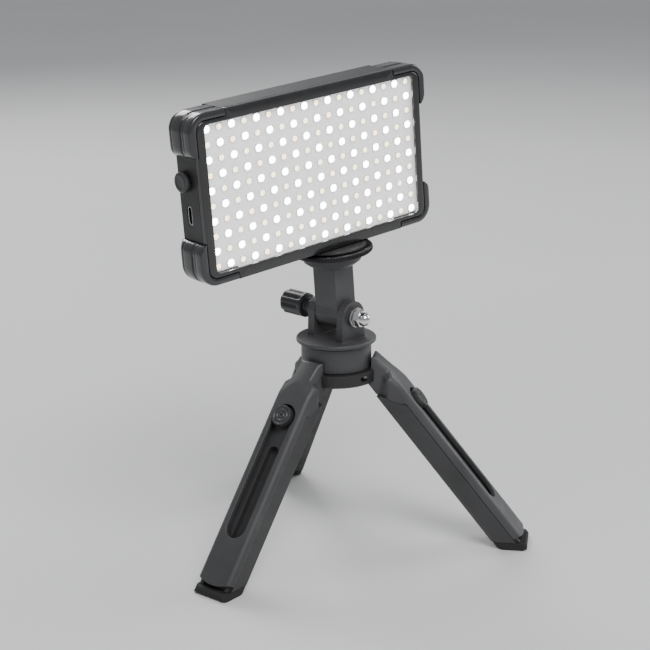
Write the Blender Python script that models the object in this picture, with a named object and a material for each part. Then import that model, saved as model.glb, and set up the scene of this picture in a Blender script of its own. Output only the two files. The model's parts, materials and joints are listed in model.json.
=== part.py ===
"""LED panel light on a folding table tripod: every piece is its own named object.

Lengths are in millimetres and are turned into metres by MM. The tripod's axis is +Z and the
lamps face -Y. The last lines stand the whole model on z = 0, centred on the origin.
"""

import math

import bmesh
import bpy
from mathutils import Matrix, Vector

MM = 0.001

# Clearances between pieces
GAP = 0.3
SLIDING_GAP = 0.3

# Lamp body: outline seen from the front, and its depth
BODY_WIDTH = 132.6
BODY_HEIGHT = 79.0
BODY_DEPTH = 18.6
BODY_WALL = 1.8
BODY_EDGE = 1.0
FRAME_DEPTH = 3.0
BUMPER_SIDE = 4.0
BUMPER_TOP = 3.2
BUMPER_LENGTH = 20.0
BUMPER_RADIUS = 8.5
BUMPER_GROOVE_WIDTH = 1.6
BUMPER_GROOVE_DEPTH = 1.1

# Lamp array: pitch and the number of lamps each way
LAMP_PITCH = 7.0
LAMP_COLUMNS = 18
LAMP_ROWS = 10
LAMP_MARGIN = 2.6
LAMP_DEPTH = 2.4
LAMP_HEIGHT = 0.7
WINDOW_THICKNESS = 0.8
WINDOW_LIP = 1.2
WINDOW_SEAT = 2.0
BOARD_THICKNESS = 1.2
SPREADER_THICKNESS = 1.2
SPREADER_MARGIN = 5.0

# Inside the lamp body
BATTERY_SIZE = (80.0, 6.4, 52.0)
BATTERY_MARGIN = 1.0
CONTROL_BOARD_WIDTH = 24.0
CONTROL_BOARD_MARGIN = 2.0
STANDOFF_INSET_X = 5.6
STANDOFF_INSET_Z = 3.1
STANDOFF_RADIUS = 3.0
SCREW_RADIUS = 1.2
SCREW_HEAD_RADIUS = 2.6
SCREW_HEAD_DEPTH = 1.2
SCREW_PAD_DEPTH = 1.6

# Controls on the left side and the display on the back
DIAL_RADIUS = 4.9
DIAL_THICKNESS = 2.4
DIAL_Y = 3.2
DIAL_Z = 7.9
DIAL_PRESS = 0.5
DIAL_STEM_RADIUS = 1.5
DIAL_STEM_LENGTH = 8.0
ENCODER_SIZE = 7.0
PORT_WIDTH = 8.9
PORT_THICKNESS = 3.2
PORT_DEPTH = 7.4
PORT_WALL = 0.4
PORT_Y = 2.3
PORT_Z = -7.9
DISPLAY_WIDTH = 26.0
DISPLAY_HEIGHT = 13.0
DISPLAY_THICKNESS = 1.0
DISPLAY_FROM_SIDE = 32.3

# Quarter-inch camera thread: socket, stud, lock ring
STUD_RADIUS = 3.15
STUD_GAP = 0.35
STUD_LENGTH_IN_SOCKET = 5.2
SOCKET_RADIUS = 4.3
SOCKET_DEPTH = 6.2
SOCKET_OFFSET = 12.4
LOCK_RING_RADIUS = 20.0
LOCK_RING_THICKNESS = 2.8
RING_PAD_RADIUS = 17.0
RING_PAD_THICKNESS = 0.8

# Tilt head
PIVOT_TO_BODY = 35.4
STUD_FOOT = 12.0
TILT_AT_REST = 4.57
HEAD_TURN = -84.0
TONGUE_THICKNESS = 14.4
TONGUE_RADIUS = 7.4
TONGUE_WIDTH = 13.0
PLATFORM_RADIUS = 14.0
PLATFORM_THICKNESS = 6.5
EAR_THICKNESS = 4.2
EAR_WIDTH = 16.0
EAR_RADIUS = 7.6
EAR_BOSS_RADIUS = 4.4
EAR_BOSS_HEIGHT = 1.3
BOLT_RADIUS = 2.0
WASHER_RADIUS = 4.8
WASHER_THICKNESS = 0.8
ACORN_FLATS = 7.6
ACORN_HEX_HEIGHT = 3.4
ACORN_HEIGHT = 7.6
KNOB_RADIUS = 6.1
KNOB_LENGTH = 15.0
KNOB_COLLAR_RADIUS = 3.6
KNOB_COLLAR_LENGTH = 7.0
KNOB_LOBES = 8
KNOB_FLUTE_RADIUS = 1.3

# Pan joint and hub
PIVOT_ABOVE_FLANGE = 11.8
FLANGE_THICKNESS = 2.2
FLANGE_OVERHANG = 2.4
SPIGOT_RADIUS = 6.0
SPIGOT_LENGTH = 7.0
CUP_RADIUS = 17.3
CUP_HEIGHT = 12.0
CUP_WALL = 2.0
BASE_BEYOND_HINGE = 5.1
BASE_THICKNESS = 6.3
CENTRE_SCREW_RADIUS = 2.3
CENTRE_SCREW_HEAD = 4.4

# Legs
LEG_COUNT = 3
FIRST_LEG_TURN = 190.3
LEG_LEAN = 38.0
HINGE_INSIDE_CUP = 1.8
HINGE_BELOW_BASE_TOP = 2.95
HINGE_EYE_RADIUS = 2.7
PIN_RADIUS = 1.25
PIN_LENGTH = 19.0
LEG_FACE = 11.8
LEG_DEPTH = 13.6
LEG_WIDTH = 20.6
LEG_FACE_WIDTH = 14.8
LEG_FACE_DROP = 3.0
LEG_LENGTH = 112.0
LEG_END_SAG = 2.6
LEG_ABOVE_FOOT = 2.69
LEG_NECK_WIDTH = 13.0
LEG_NECK_TOP = 5.0
LEG_SHOULDER = 1.8
LEG_BLOCK_END = 14.0
SKIRT_DEPTH = 3.6
SHELL_WALL = 1.5
SHELL_FRONT_WALL = 2.0
FLARE_START = 11.0
FLARE_END = 22.0
SLOT_WIDTH = 11.3
KEYHOLE_RADIUS = 6.5
BUTTON_FROM_HINGE = 25.7
LEG_TRAVEL = 55.0
CORE_FACE_BELOW_SHELL = 3.4
CORE_RAIL_WIDTH = 1.8
CORE_GROOVE_WIDTH = 6.2
CORE_GROOVE_DEPTH = 3.6
CORE_GROOVE_START = 14.3
CORE_TAPER = 2.2
FOOT_THICKNESS = 5.0
FOOT_ROUNDING = 3.5
BUTTON_RADIUS = 5.2
BUTTON_PROUD = 2.2
BUTTON_PRESS = 1.4
BUTTON_STEM_RADIUS = 2.3
SPRING_WIRE_RADIUS = 0.35
SPRING_TURNS = 3

FINE = 48
MEDIUM = 32
COARSE = 20

FRONT = -BODY_DEPTH / 2
BACK = BODY_DEPTH / 2
HALF_WIDTH = BODY_WIDTH / 2
HALF_HEIGHT = BODY_HEIGHT / 2
OPENING_HALF_WIDTH = LAMP_PITCH * (LAMP_COLUMNS - 1) / 2 + LAMP_MARGIN
OPENING_HALF_HEIGHT = LAMP_PITCH * (LAMP_ROWS - 1) / 2 + LAMP_MARGIN
LAMP_PLANE = FRONT + LAMP_DEPTH
BOARD_FRONT = LAMP_PLANE + LAMP_HEIGHT
BOARD_BACK = BOARD_FRONT + BOARD_THICKNESS
SPREADER_BACK = BOARD_BACK + GAP + SPREADER_THICKNESS
INSIDE_BACK = BACK - BODY_WALL
PORT_BOARD_FRONT = PORT_Y + PORT_THICKNESS / 2 + GAP
SPREADER_HALF_WIDTH = OPENING_HALF_WIDTH + WINDOW_SEAT - SPREADER_MARGIN / 2
SPREADER_HALF_HEIGHT = OPENING_HALF_HEIGHT + WINDOW_SEAT - SPREADER_MARGIN
STANDOFF_X = SPREADER_HALF_WIDTH - STANDOFF_INSET_X
STANDOFF_Z = SPREADER_HALF_HEIGHT - STANDOFF_INSET_Z
BATTERY_X = STANDOFF_X - STANDOFF_RADIUS - BATTERY_MARGIN - BATTERY_SIZE[0] / 2
CONTROL_BOARD_HEIGHT = 2 * (STANDOFF_Z - STANDOFF_RADIUS - CONTROL_BOARD_MARGIN)
DISPLAY_X = DISPLAY_FROM_SIDE - HALF_WIDTH
HINGE_RADIUS = CUP_RADIUS - HINGE_INSIDE_CUP
BASE_RADIUS = HINGE_RADIUS + BASE_BEYOND_HINGE
FLANGE_RADIUS = CUP_RADIUS + FLANGE_OVERHANG
LEAN = math.radians(LEG_LEAN)
FOOT_BOTTOM = LEG_LENGTH + LEG_ABOVE_FOOT + FOOT_THICKNESS
HINGE_HEIGHT = FOOT_BOTTOM * math.cos(LEAN) - LEG_FACE * math.sin(LEAN)
BASE_TOP = HINGE_HEIGHT + HINGE_BELOW_BASE_TOP
CUP_LOW = BASE_TOP + GAP
FLANGE_TOP = CUP_LOW + CUP_HEIGHT + GAP + FLANGE_THICKNESS


def clear_scene():
    for thing in list(bpy.data.objects):
        bpy.data.objects.remove(thing, do_unlink=True)


def finish(name, colour, roughness, metallic=0.0):
    made = bpy.data.materials.new(name)
    made.use_nodes = True
    shader = made.node_tree.nodes["Principled BSDF"]
    shader.inputs["Base Color"].default_value = (*colour, 1.0)
    shader.inputs["Roughness"].default_value = roughness
    shader.inputs["Metallic"].default_value = metallic
    return made


def frame_at(name, parent, place=(0, 0, 0), turn=(0, 0, 0)):
    """An empty that carries a group of pieces: place in millimetres, turn in degrees."""
    empty = bpy.data.objects.new(name, None)
    bpy.context.scene.collection.objects.link(empty)
    empty.parent = parent
    empty.location = Vector(place) * MM
    empty.rotation_euler = [math.radians(angle) for angle in turn]
    return empty


def put(name, shape, parent, look=None, smooth=True):
    """Makes an object of a bmesh in millimetres, with its origin on its parent's."""
    bmesh.ops.remove_doubles(shape, verts=shape.verts, dist=1e-5)
    bmesh.ops.recalc_face_normals(shape, faces=shape.faces)
    bmesh.ops.scale(shape, vec=(MM, MM, MM), verts=shape.verts)
    mesh = bpy.data.meshes.new(name)
    shape.to_mesh(mesh)
    shape.free()
    thing = bpy.data.objects.new(name, mesh)
    bpy.context.scene.collection.objects.link(thing)
    thing.parent = parent
    if look:
        mesh.materials.append(look)
    if smooth:
        mesh.shade_smooth()
        mesh.set_sharp_from_angle(angle=math.radians(35))
    return thing


def combine(thing, shape, operation="DIFFERENCE"):
    """Cuts a shape out of an object, or joins it on, with a hidden helper in the same frame."""
    helper = put(f"{thing.name}_helper", shape, thing.parent, smooth=False)
    helper.hide_render = True
    helper.display_type = "WIRE"
    step = thing.modifiers.new(helper.name, "BOOLEAN")
    step.operation = operation
    step.solver = "EXACT"
    step.object = helper
    return helper


def stack(levels, axes="xzy"):
    """Outlines of equal length at rising levels, joined into one solid.

    Each outline is in the first two axes, and its level is along the third.
    """
    order = ["xyz".index(letter) for letter in axes]
    shape = bmesh.new()
    rings = []
    for outline, level in levels:
        ring = []
        for first, second in outline:
            point = [0.0, 0.0, 0.0]
            for index, value in zip(order, (first, second, level)):
                point[index] = value
            ring.append(shape.verts.new(point))
        rings.append(ring)
    shape.faces.new(rings[0])
    shape.faces.new(list(reversed(rings[-1])))
    for lower, upper in zip(rings, rings[1:]):
        for index, corner in enumerate(lower):
            after = (index + 1) % len(lower)
            shape.faces.new((corner, lower[after], upper[after], upper[index]))
    return shape


def prism(outline, low, high, axes="xzy"):
    """A closed outline in its first two axes, drawn out along the third from low to high."""
    return stack([(outline, low), (outline, high)], axes)


def turned(profile, segments, axis="z", centre=(0, 0, 0)):
    """A profile of (radius, height) points, from one end to the other, turned about an axis."""
    shape = bmesh.new()
    rings = []
    for radius, height in profile:
        if radius == 0:
            rings.append([shape.verts.new((0, 0, height))])
            continue
        steps = [2 * math.pi * index / segments for index in range(segments)]
        ring = [shape.verts.new((radius * math.cos(t), radius * math.sin(t), height)) for t in steps]
        rings.append(ring)
    closed = profile[0][0] > 0
    pairs = list(zip(rings, rings[1:]))
    if closed:
        pairs.append((rings[-1], rings[0]))
    for lower, upper in pairs:
        for index in range(segments):
            after = (index + 1) % segments
            corners = [lower[index % len(lower)], lower[after % len(lower)]]
            corners += [upper[after % len(upper)], upper[index % len(upper)]]
            distinct = list(dict.fromkeys(corners))
            shape.faces.new(distinct)
    turns = {
        "z": Matrix(),
        "x": Matrix.Rotation(math.pi / 2, 4, "Y"),
        "y": Matrix.Rotation(-math.pi / 2, 4, "X"),
    }
    shape.transform(Matrix.Translation(centre) @ turns[axis])
    return shape


def rod(radius, low, high, segments=COARSE, axis="z", centre=(0, 0, 0), bevel=0.0):
    """A plain round rod between two heights on its axis, with chamfered ends."""
    profile = [(0, low), (radius - bevel, low), (radius, low + bevel)]
    profile += [(radius, high - bevel), (radius - bevel, high), (0, high)]
    if not bevel:
        profile = [(0, low), (radius, low), (radius, high), (0, high)]
    return turned(profile, segments, axis, centre)


def block(low, high):
    """A box between two corners."""
    shape = bmesh.new()
    bmesh.ops.create_cube(shape, size=1.0)
    size = [top - bottom for bottom, top in zip(low, high)]
    middle = [(top + bottom) / 2 for bottom, top in zip(low, high)]
    shape.transform(Matrix.Translation(middle) @ Matrix.Diagonal((*size, 1.0)))
    return shape


def arc(centre, radius, start, end, steps):
    """Points on an arc, angles in degrees."""
    angles = [math.radians(start + (end - start) * index / steps) for index in range(steps + 1)]
    return [(centre[0] + radius * math.cos(t), centre[1] + radius * math.sin(t)) for t in angles]


def rounded_rectangle(half_width, half_height, radius, steps=5, centre=(0, 0)):
    outline = []
    for quadrant, (across, up) in enumerate(((1, 1), (-1, 1), (-1, -1), (1, -1))):
        corner = (centre[0] + across * (half_width - radius), centre[1] + up * (half_height - radius))
        outline += arc(corner, radius, 90 * quadrant, 90 * quadrant + 90, steps)
    return outline


def soften(thing, width, angle=40, segments=2):
    """Rounds the sharp edges of an object."""
    step = thing.modifiers.new("soft_edges", "BEVEL")
    step.width = width * MM
    step.segments = segments
    step.limit_method = "ANGLE"
    step.angle_limit = math.radians(angle)
    return step


# ---------------------------------------------------------------- lamp body


def body_outline(inset=0.0):
    """The lamp body from the front: a rectangle stepped in at its corners for the bumpers."""
    side = HALF_WIDTH - inset
    top = HALF_HEIGHT - inset
    seat_top = HALF_HEIGHT - BUMPER_TOP - GAP - inset
    step = HALF_WIDTH + BUMPER_SIDE - BUMPER_LENGTH - GAP - inset
    radius = BUMPER_RADIUS - BUMPER_SIDE - inset
    corner = arc((side - radius, seat_top - radius), radius, 0, 90, 5)
    quarter = corner + [(step, seat_top), (step, top)]
    left = [(-across, up) for across, up in reversed(quarter)]
    upper = quarter + left
    return upper + [(-across, -up) for across, up in upper]


def bumper_path(outer):
    """One corner's path from its lower end on the side, round, to its far end on the top."""
    half_width = HALF_WIDTH + (BUMPER_SIDE if outer else GAP)
    half_height = HALF_HEIGHT - (0 if outer else BUMPER_TOP)
    radius = BUMPER_RADIUS if outer else BUMPER_RADIUS - BUMPER_SIDE + GAP
    centre = (half_width - radius, half_height - radius)
    round_part = arc(centre, radius, 0, 90, 7)
    low_end = HALF_HEIGHT - BUMPER_LENGTH
    far_end = HALF_WIDTH + BUMPER_SIDE - BUMPER_LENGTH
    ease = BUMPER_SIDE * 0.9
    if outer:
        foot = [(HALF_WIDTH + GAP + 0.5, low_end), (half_width - 1.0, low_end + 0.45 * ease)]
        foot += [(half_width, low_end + ease)]
    else:
        foot = [(half_width, low_end), (half_width, low_end + 0.45 * ease)]
        foot += [(half_width, low_end + ease)]
    return foot + round_part + [(far_end, half_height)]


def bumper_profile():
    """Depth across the bumper and how far out each point lies, 0 on the body and 1 outside."""
    groove = -1.9
    half = BUMPER_GROOVE_WIDTH / 2
    floor = 1 - BUMPER_GROOVE_DEPTH / BUMPER_SIDE
    return [
        (FRONT, 0.0), (FRONT, 0.82), (FRONT + 0.8, 1.0), (groove - half, 1.0),
        (groove - half, floor), (groove + half, floor), (groove + half, 1.0),
        (BACK - 4.6, 1.0), (BACK - 3.9, 0.86), (BACK - 3.2, 0.96), (BACK - 1.6, 0.8),
        (BACK - 0.4, 0.3), (BACK - 0.2, 0.0),
    ]


def bumper(name, across, up, parent, look):
    shape = bmesh.new()
    stations = list(zip(bumper_path(True), bumper_path(False)))
    profile = bumper_profile()
    rings = []
    for outer, inner in stations:
        ring = []
        for depth, share in profile:
            x = inner[0] + (outer[0] - inner[0]) * share
            z = inner[1] + (outer[1] - inner[1]) * share
            ring.append(shape.verts.new((across * x, depth, up * z)))
        rings.append(ring)
    shape.faces.new(rings[0])
    shape.faces.new(list(reversed(rings[-1])))
    count = len(profile)
    for ring, following in zip(rings, rings[1:]):
        for index in range(count):
            after = (index + 1) % count
            shape.faces.new((ring[index], ring[after], following[after], following[index]))
    return put(name, shape, parent, look)


def build_front_frame(parent, look):
    frame = put("front_frame", prism(body_outline(), FRONT, FRONT + FRAME_DEPTH), parent, look)
    opening = rounded_rectangle(OPENING_HALF_WIDTH, OPENING_HALF_HEIGHT, 2.5)
    combine(frame, prism(opening, FRONT - 1, FRONT + FRAME_DEPTH + 1))
    seat = rounded_rectangle(OPENING_HALF_WIDTH + WINDOW_SEAT, OPENING_HALF_HEIGHT + WINDOW_SEAT - GAP, 3.0)
    combine(frame, prism(seat, FRONT + WINDOW_LIP, FRONT + FRAME_DEPTH + 1))


def build_lamp_stack(parent, looks):
    """The window, the lamp board and the heat spreader, one behind the other."""
    seat_width = OPENING_HALF_WIDTH + WINDOW_SEAT - GAP
    seat_height = OPENING_HALF_HEIGHT + WINDOW_SEAT - 2 * GAP
    plate = rounded_rectangle(seat_width, seat_height, 2.7)
    front = FRONT + WINDOW_LIP + 0.1
    put("front_window", prism(plate, front, front + WINDOW_THICKNESS), parent, looks["clear"])
    board = body_outline(BODY_WALL + GAP)
    put("lamp_board", prism(board, BOARD_FRONT, BOARD_BACK), parent, looks["board"])
    sheet = rounded_rectangle(SPREADER_HALF_WIDTH, SPREADER_HALF_HEIGHT, 2.0, steps=2)
    spreader = put("heat_spreader", prism(sheet, BOARD_BACK + GAP, SPREADER_BACK), parent, looks["metal"])
    end = INSIDE_BACK - SCREW_PAD_DEPTH - GAP
    for across in (-1, 1):
        for up in (-1, 1):
            place = (across * STANDOFF_X, 0, up * STANDOFF_Z)
            post = rod(STANDOFF_RADIUS, SPREADER_BACK - 0.4, end, 16, "y", place)
            combine(spreader, post, "UNION")
            hole = rod(SCREW_RADIUS + GAP, SPREADER_BACK + 1, end + 1, 12, "y", place)
            combine(spreader, hole)


def build_rear_cover(parent, look):
    front = FRONT + FRAME_DEPTH + GAP
    outer = [(body_outline(), front), (body_outline(), BACK - BODY_EDGE), (body_outline(BODY_EDGE), BACK)]
    cover = put("rear_cover", stack(outer), parent, look)
    combine(cover, prism(body_outline(BODY_WALL), front - 1, INSIDE_BACK))
    for across in (-1, 1):
        for up in (-1, 1):
            place = (across * STANDOFF_X, 0, up * STANDOFF_Z)
            pad_radius = SCREW_HEAD_RADIUS + 1.4
            pad = rod(pad_radius, INSIDE_BACK - SCREW_PAD_DEPTH, INSIDE_BACK + 0.5, 16, "y", place)
            combine(cover, pad, "UNION")
            bore = SCREW_RADIUS + GAP
            seat = BACK - SCREW_HEAD_DEPTH
            hole = [(0, INSIDE_BACK - SCREW_PAD_DEPTH - 1), (bore, INSIDE_BACK - SCREW_PAD_DEPTH - 1)]
            hole += [(bore, seat), (SCREW_HEAD_RADIUS + GAP, seat)]
            hole += [(SCREW_HEAD_RADIUS + GAP, BACK + 1), (0, BACK + 1)]
            combine(cover, turned(hole, 16, "y", place))
    cradle_top = -HALF_HEIGHT + SOCKET_DEPTH + GAP
    cradle_low = (SOCKET_OFFSET - 7, -1.5, -HALF_HEIGHT + 0.6)
    cradle = block(cradle_low, (SOCKET_OFFSET + 7, INSIDE_BACK + 0.5, cradle_top))
    combine(cover, cradle, "UNION")
    socket_place = (SOCKET_OFFSET, 0, 0)
    socket_hole = rod(SOCKET_RADIUS + GAP, -HALF_HEIGHT - 1, cradle_top + 1, COARSE, "z", socket_place)
    combine(cover, socket_hole)
    stem_place = (0, DIAL_Y, DIAL_Z)
    stem_hole = rod(DIAL_STEM_RADIUS + GAP, -HALF_WIDTH - 1, -HALF_WIDTH + BODY_WALL + 1, 16, "x", stem_place)
    combine(cover, stem_hole)
    port_half = PORT_THICKNESS / 2
    port = rounded_rectangle(port_half + GAP, PORT_WIDTH / 2 + GAP, port_half, 4, (PORT_Y, PORT_Z))
    combine(cover, prism(port, -HALF_WIDTH - 1, -HALF_WIDTH + BODY_WALL + 1, "yzx"))
    glass = rounded_rectangle(DISPLAY_WIDTH / 2 + GAP, DISPLAY_HEIGHT / 2 + GAP, 1.5, 2, (DISPLAY_X, 0))
    combine(cover, prism(glass, BACK - DISPLAY_THICKNESS - GAP, BACK + 1))
    view = rounded_rectangle(DISPLAY_WIDTH / 2 - 2, DISPLAY_HEIGHT / 2 - 2, 1.0, 1, (DISPLAY_X, 0))
    combine(cover, prism(view, INSIDE_BACK - 1, BACK))


def build_inside(parent, looks):
    """Battery, control board, display, charging port, dial and its encoder."""
    width, depth, height = BATTERY_SIZE
    cell = rounded_rectangle(width / 2, height / 2, 3.0, 2, (BATTERY_X, 0))
    battery_front = SPREADER_BACK + GAP
    put("battery_pack", prism(cell, battery_front, battery_front + depth), parent, looks["battery"])

    left = -HALF_WIDTH + BODY_WALL + 2 * GAP
    board = block(
        (left, PORT_BOARD_FRONT, -CONTROL_BOARD_HEIGHT / 2),
        (left + CONTROL_BOARD_WIDTH, PORT_BOARD_FRONT + BOARD_THICKNESS, CONTROL_BOARD_HEIGHT / 2),
    )
    control = put("control_board", board, parent, looks["board_green"], smooth=False)
    encoder_x = -HALF_WIDTH + BODY_WALL + 2 * GAP + 0.6
    half = ENCODER_SIZE / 2
    notch = block(
        (left - 1, PORT_BOARD_FRONT - 1, DIAL_Z - half - GAP),
        (encoder_x + ENCODER_SIZE + GAP, PORT_BOARD_FRONT + 3, DIAL_Z + half + GAP),
    )
    combine(control, notch)
    encoder = put(
        "encoder",
        block(
            (encoder_x, DIAL_Y - half, DIAL_Z - half),
            (encoder_x + ENCODER_SIZE, DIAL_Y + half, DIAL_Z + half),
        ),
        parent,
        looks["metal"],
        smooth=False,
    )
    shaft_tip = GAP - DIAL_THICKNESS + 0.6
    bore_end = -HALF_WIDTH + shaft_tip + DIAL_STEM_LENGTH + GAP
    combine(encoder, rod(DIAL_STEM_RADIUS + GAP, encoder_x - 1, bore_end, 16, "x", (0, DIAL_Y, DIAL_Z)))

    port_outside = -HALF_WIDTH + GAP
    outer_half = PORT_THICKNESS / 2
    shell = rounded_rectangle(outer_half, PORT_WIDTH / 2, outer_half - 0.1, 4, (PORT_Y, PORT_Z))
    can = prism(shell, port_outside, port_outside + PORT_DEPTH, "yzx")
    port = put("usb_port", can, parent, looks["steel"])
    inner_half = PORT_THICKNESS / 2 - PORT_WALL
    mouth = rounded_rectangle(inner_half, PORT_WIDTH / 2 - PORT_WALL, inner_half - 0.1, 4, (PORT_Y, PORT_Z))
    combine(port, prism(mouth, port_outside - 1, port_outside + PORT_DEPTH - 1.0, "yzx"))
    tongue = block(
        (port_outside + 0.8, PORT_Y - 0.35, PORT_Z - PORT_WIDTH / 2 + 1.4),
        (port_outside + PORT_DEPTH - 1.0 - GAP, PORT_Y + 0.35, PORT_Z + PORT_WIDTH / 2 - 1.4),
    )
    put("usb_tongue", tongue, parent, looks["black"], smooth=False)

    glass = rounded_rectangle(DISPLAY_WIDTH / 2, DISPLAY_HEIGHT / 2, 1.2, 2, (DISPLAY_X, 0))
    put("display_window", prism(glass, BACK - DISPLAY_THICKNESS, BACK - 0.1), parent, looks["smoked"])
    module_half_width = DISPLAY_WIDTH / 2 - 1
    module_half_height = DISPLAY_HEIGHT / 2 - 0.5
    module = block(
        (DISPLAY_X - module_half_width, PORT_BOARD_FRONT + BOARD_THICKNESS + GAP, -module_half_height),
        (DISPLAY_X + module_half_width, INSIDE_BACK - GAP, module_half_height),
    )
    put("display_module", module, parent, looks["black"], smooth=False)

    thread = STUD_RADIUS + STUD_GAP
    insert = [(thread, -HALF_HEIGHT + 0.2), (SOCKET_RADIUS, -HALF_HEIGHT + 0.2)]
    insert += [(SOCKET_RADIUS, -HALF_HEIGHT + SOCKET_DEPTH), (thread, -HALF_HEIGHT + SOCKET_DEPTH)]
    put("socket_insert", turned(insert, COARSE, "z", (SOCKET_OFFSET, 0, 0)), parent, looks["brass"])

    screw_end = INSIDE_BACK - SCREW_PAD_DEPTH - 4.0
    for number, (across, up) in enumerate(((-1, 1), (1, 1), (1, -1), (-1, -1)), start=1):
        profile = [(0, screw_end), (SCREW_RADIUS, screw_end), (SCREW_RADIUS, BACK - SCREW_HEAD_DEPTH + GAP)]
        profile += [(SCREW_HEAD_RADIUS, BACK - SCREW_HEAD_DEPTH + GAP), (SCREW_HEAD_RADIUS, BACK - 0.1)]
        profile += [(1.0, BACK - 0.1), (0.9, BACK - 0.7), (0, BACK - 0.7)]
        place = (across * STANDOFF_X, 0, up * STANDOFF_Z)
        put(f"cover_screw_{number}", turned(profile, 16, "y", place), parent, looks["steel"])


def build_dial(parent, looks):
    """The encoder's shaft and the dial cap that slides on it, on an axis along X."""
    inner = -(DIAL_PRESS + GAP)
    outer = inner - DIAL_THICKNESS
    socket_end = outer + 0.6
    profile = [(0, outer), (DIAL_RADIUS - 1.6, outer), (DIAL_RADIUS - 0.4, outer + 0.5)]
    profile += [(DIAL_RADIUS, outer + 1.2), (DIAL_RADIUS, inner), (DIAL_STEM_RADIUS + GAP, inner)]
    profile += [(DIAL_STEM_RADIUS + GAP, socket_end), (0, socket_end)]
    put("dial", turned(profile, 24, "x"), parent, looks["dial"])
    tip = socket_end + DIAL_PRESS + GAP
    shaft = rod(DIAL_STEM_RADIUS, tip, tip + DIAL_STEM_LENGTH, 16, "x")
    put("encoder_shaft", shaft, parent, looks["steel"])


def build_lamp(light_axis, looks):
    body = frame_at("lamp_body_centre", light_axis, (-SOCKET_OFFSET, 0, HALF_HEIGHT))
    build_front_frame(body, looks["shell_black"])
    build_lamp_stack(body, looks)
    build_rear_cover(body, looks["shell_black"])
    build_inside(body, looks)
    corners = (("top_left", -1, 1), ("top_right", 1, 1), ("bottom_right", 1, -1), ("bottom_left", -1, -1))
    for name, across, up in corners:
        bumper(f"bumper_{name}", across, up, body, looks["bumper"])
    dial_axis = frame_at("dial_axis", body, (-HALF_WIDTH, DIAL_Y, DIAL_Z))
    build_dial(dial_axis, looks)


# ---------------------------------------------------------------- tilt head and pan joint


def build_stud_parts(tilt_axis, looks):
    """The fixed stud, and the lock ring with its pad, which turn on it."""
    body_bottom = PIVOT_TO_BODY
    pad_low = body_bottom - GAP - RING_PAD_THICKNESS
    ring_low = pad_low - GAP - LOCK_RING_THICKNESS
    bore = STUD_RADIUS + STUD_GAP
    tip = body_bottom + STUD_LENGTH_IN_SOCKET
    stud = [(0, STUD_FOOT), (STUD_RADIUS, STUD_FOOT), (STUD_RADIUS, tip - 0.8)]
    stud += [(STUD_RADIUS - 0.8, tip), (0, tip)]
    put("camera_stud", turned(stud, COARSE), tilt_axis, looks["steel"])
    ring = [(bore, ring_low), (LOCK_RING_RADIUS - 0.6, ring_low), (LOCK_RING_RADIUS, ring_low + 0.6)]
    ring += [(LOCK_RING_RADIUS, pad_low - GAP - 0.6), (LOCK_RING_RADIUS - 0.6, pad_low - GAP)]
    ring += [(bore, pad_low - GAP)]
    put("lock_ring", turned(ring, FINE), tilt_axis, looks["ring"])
    pad = [(bore + 1, pad_low), (RING_PAD_RADIUS, pad_low), (RING_PAD_RADIUS, pad_low + RING_PAD_THICKNESS)]
    pad += [(bore + 1, pad_low + RING_PAD_THICKNESS)]
    put("ring_pad", turned(pad, FINE), tilt_axis, looks["rubber"])
    return ring_low


def build_tongue(tilt_axis, look, ring_low):
    """The tilting block: an eye round the bolt, a neck and a round platform under the lock ring."""
    platform_top = ring_low - GAP
    platform_low = platform_top - PLATFORM_THICKNESS
    half = TONGUE_WIDTH / 2
    lower = arc((0, 0), TONGUE_RADIUS, 180 + 25, 360 - 25, 8)
    side = [(half, 4.5), (half, platform_low + 1.0), (-half, platform_low + 1.0), (-half, 4.5)]
    outline = lower + [(TONGUE_RADIUS, 0.6)] + side + [(-TONGUE_RADIUS, 0.6)]
    thickness = TONGUE_THICKNESS / 2
    tongue = put("tilt_tongue", prism(outline, -thickness, thickness, "yzx"), tilt_axis, look)
    platform = [(0, platform_low), (PLATFORM_RADIUS - 4.0, platform_low)]
    platform += [(PLATFORM_RADIUS, platform_low + 3.0), (PLATFORM_RADIUS, platform_top - 0.5)]
    platform += [(PLATFORM_RADIUS - 0.5, platform_top), (0, platform_top)]
    combine(tongue, turned(platform, FINE), "UNION")
    combine(tongue, rod(BOLT_RADIUS + GAP, -20, 20, COARSE, "x"))
    combine(tongue, rod(STUD_RADIUS + GAP, STUD_FOOT - GAP, platform_top + 1, COARSE))


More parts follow.
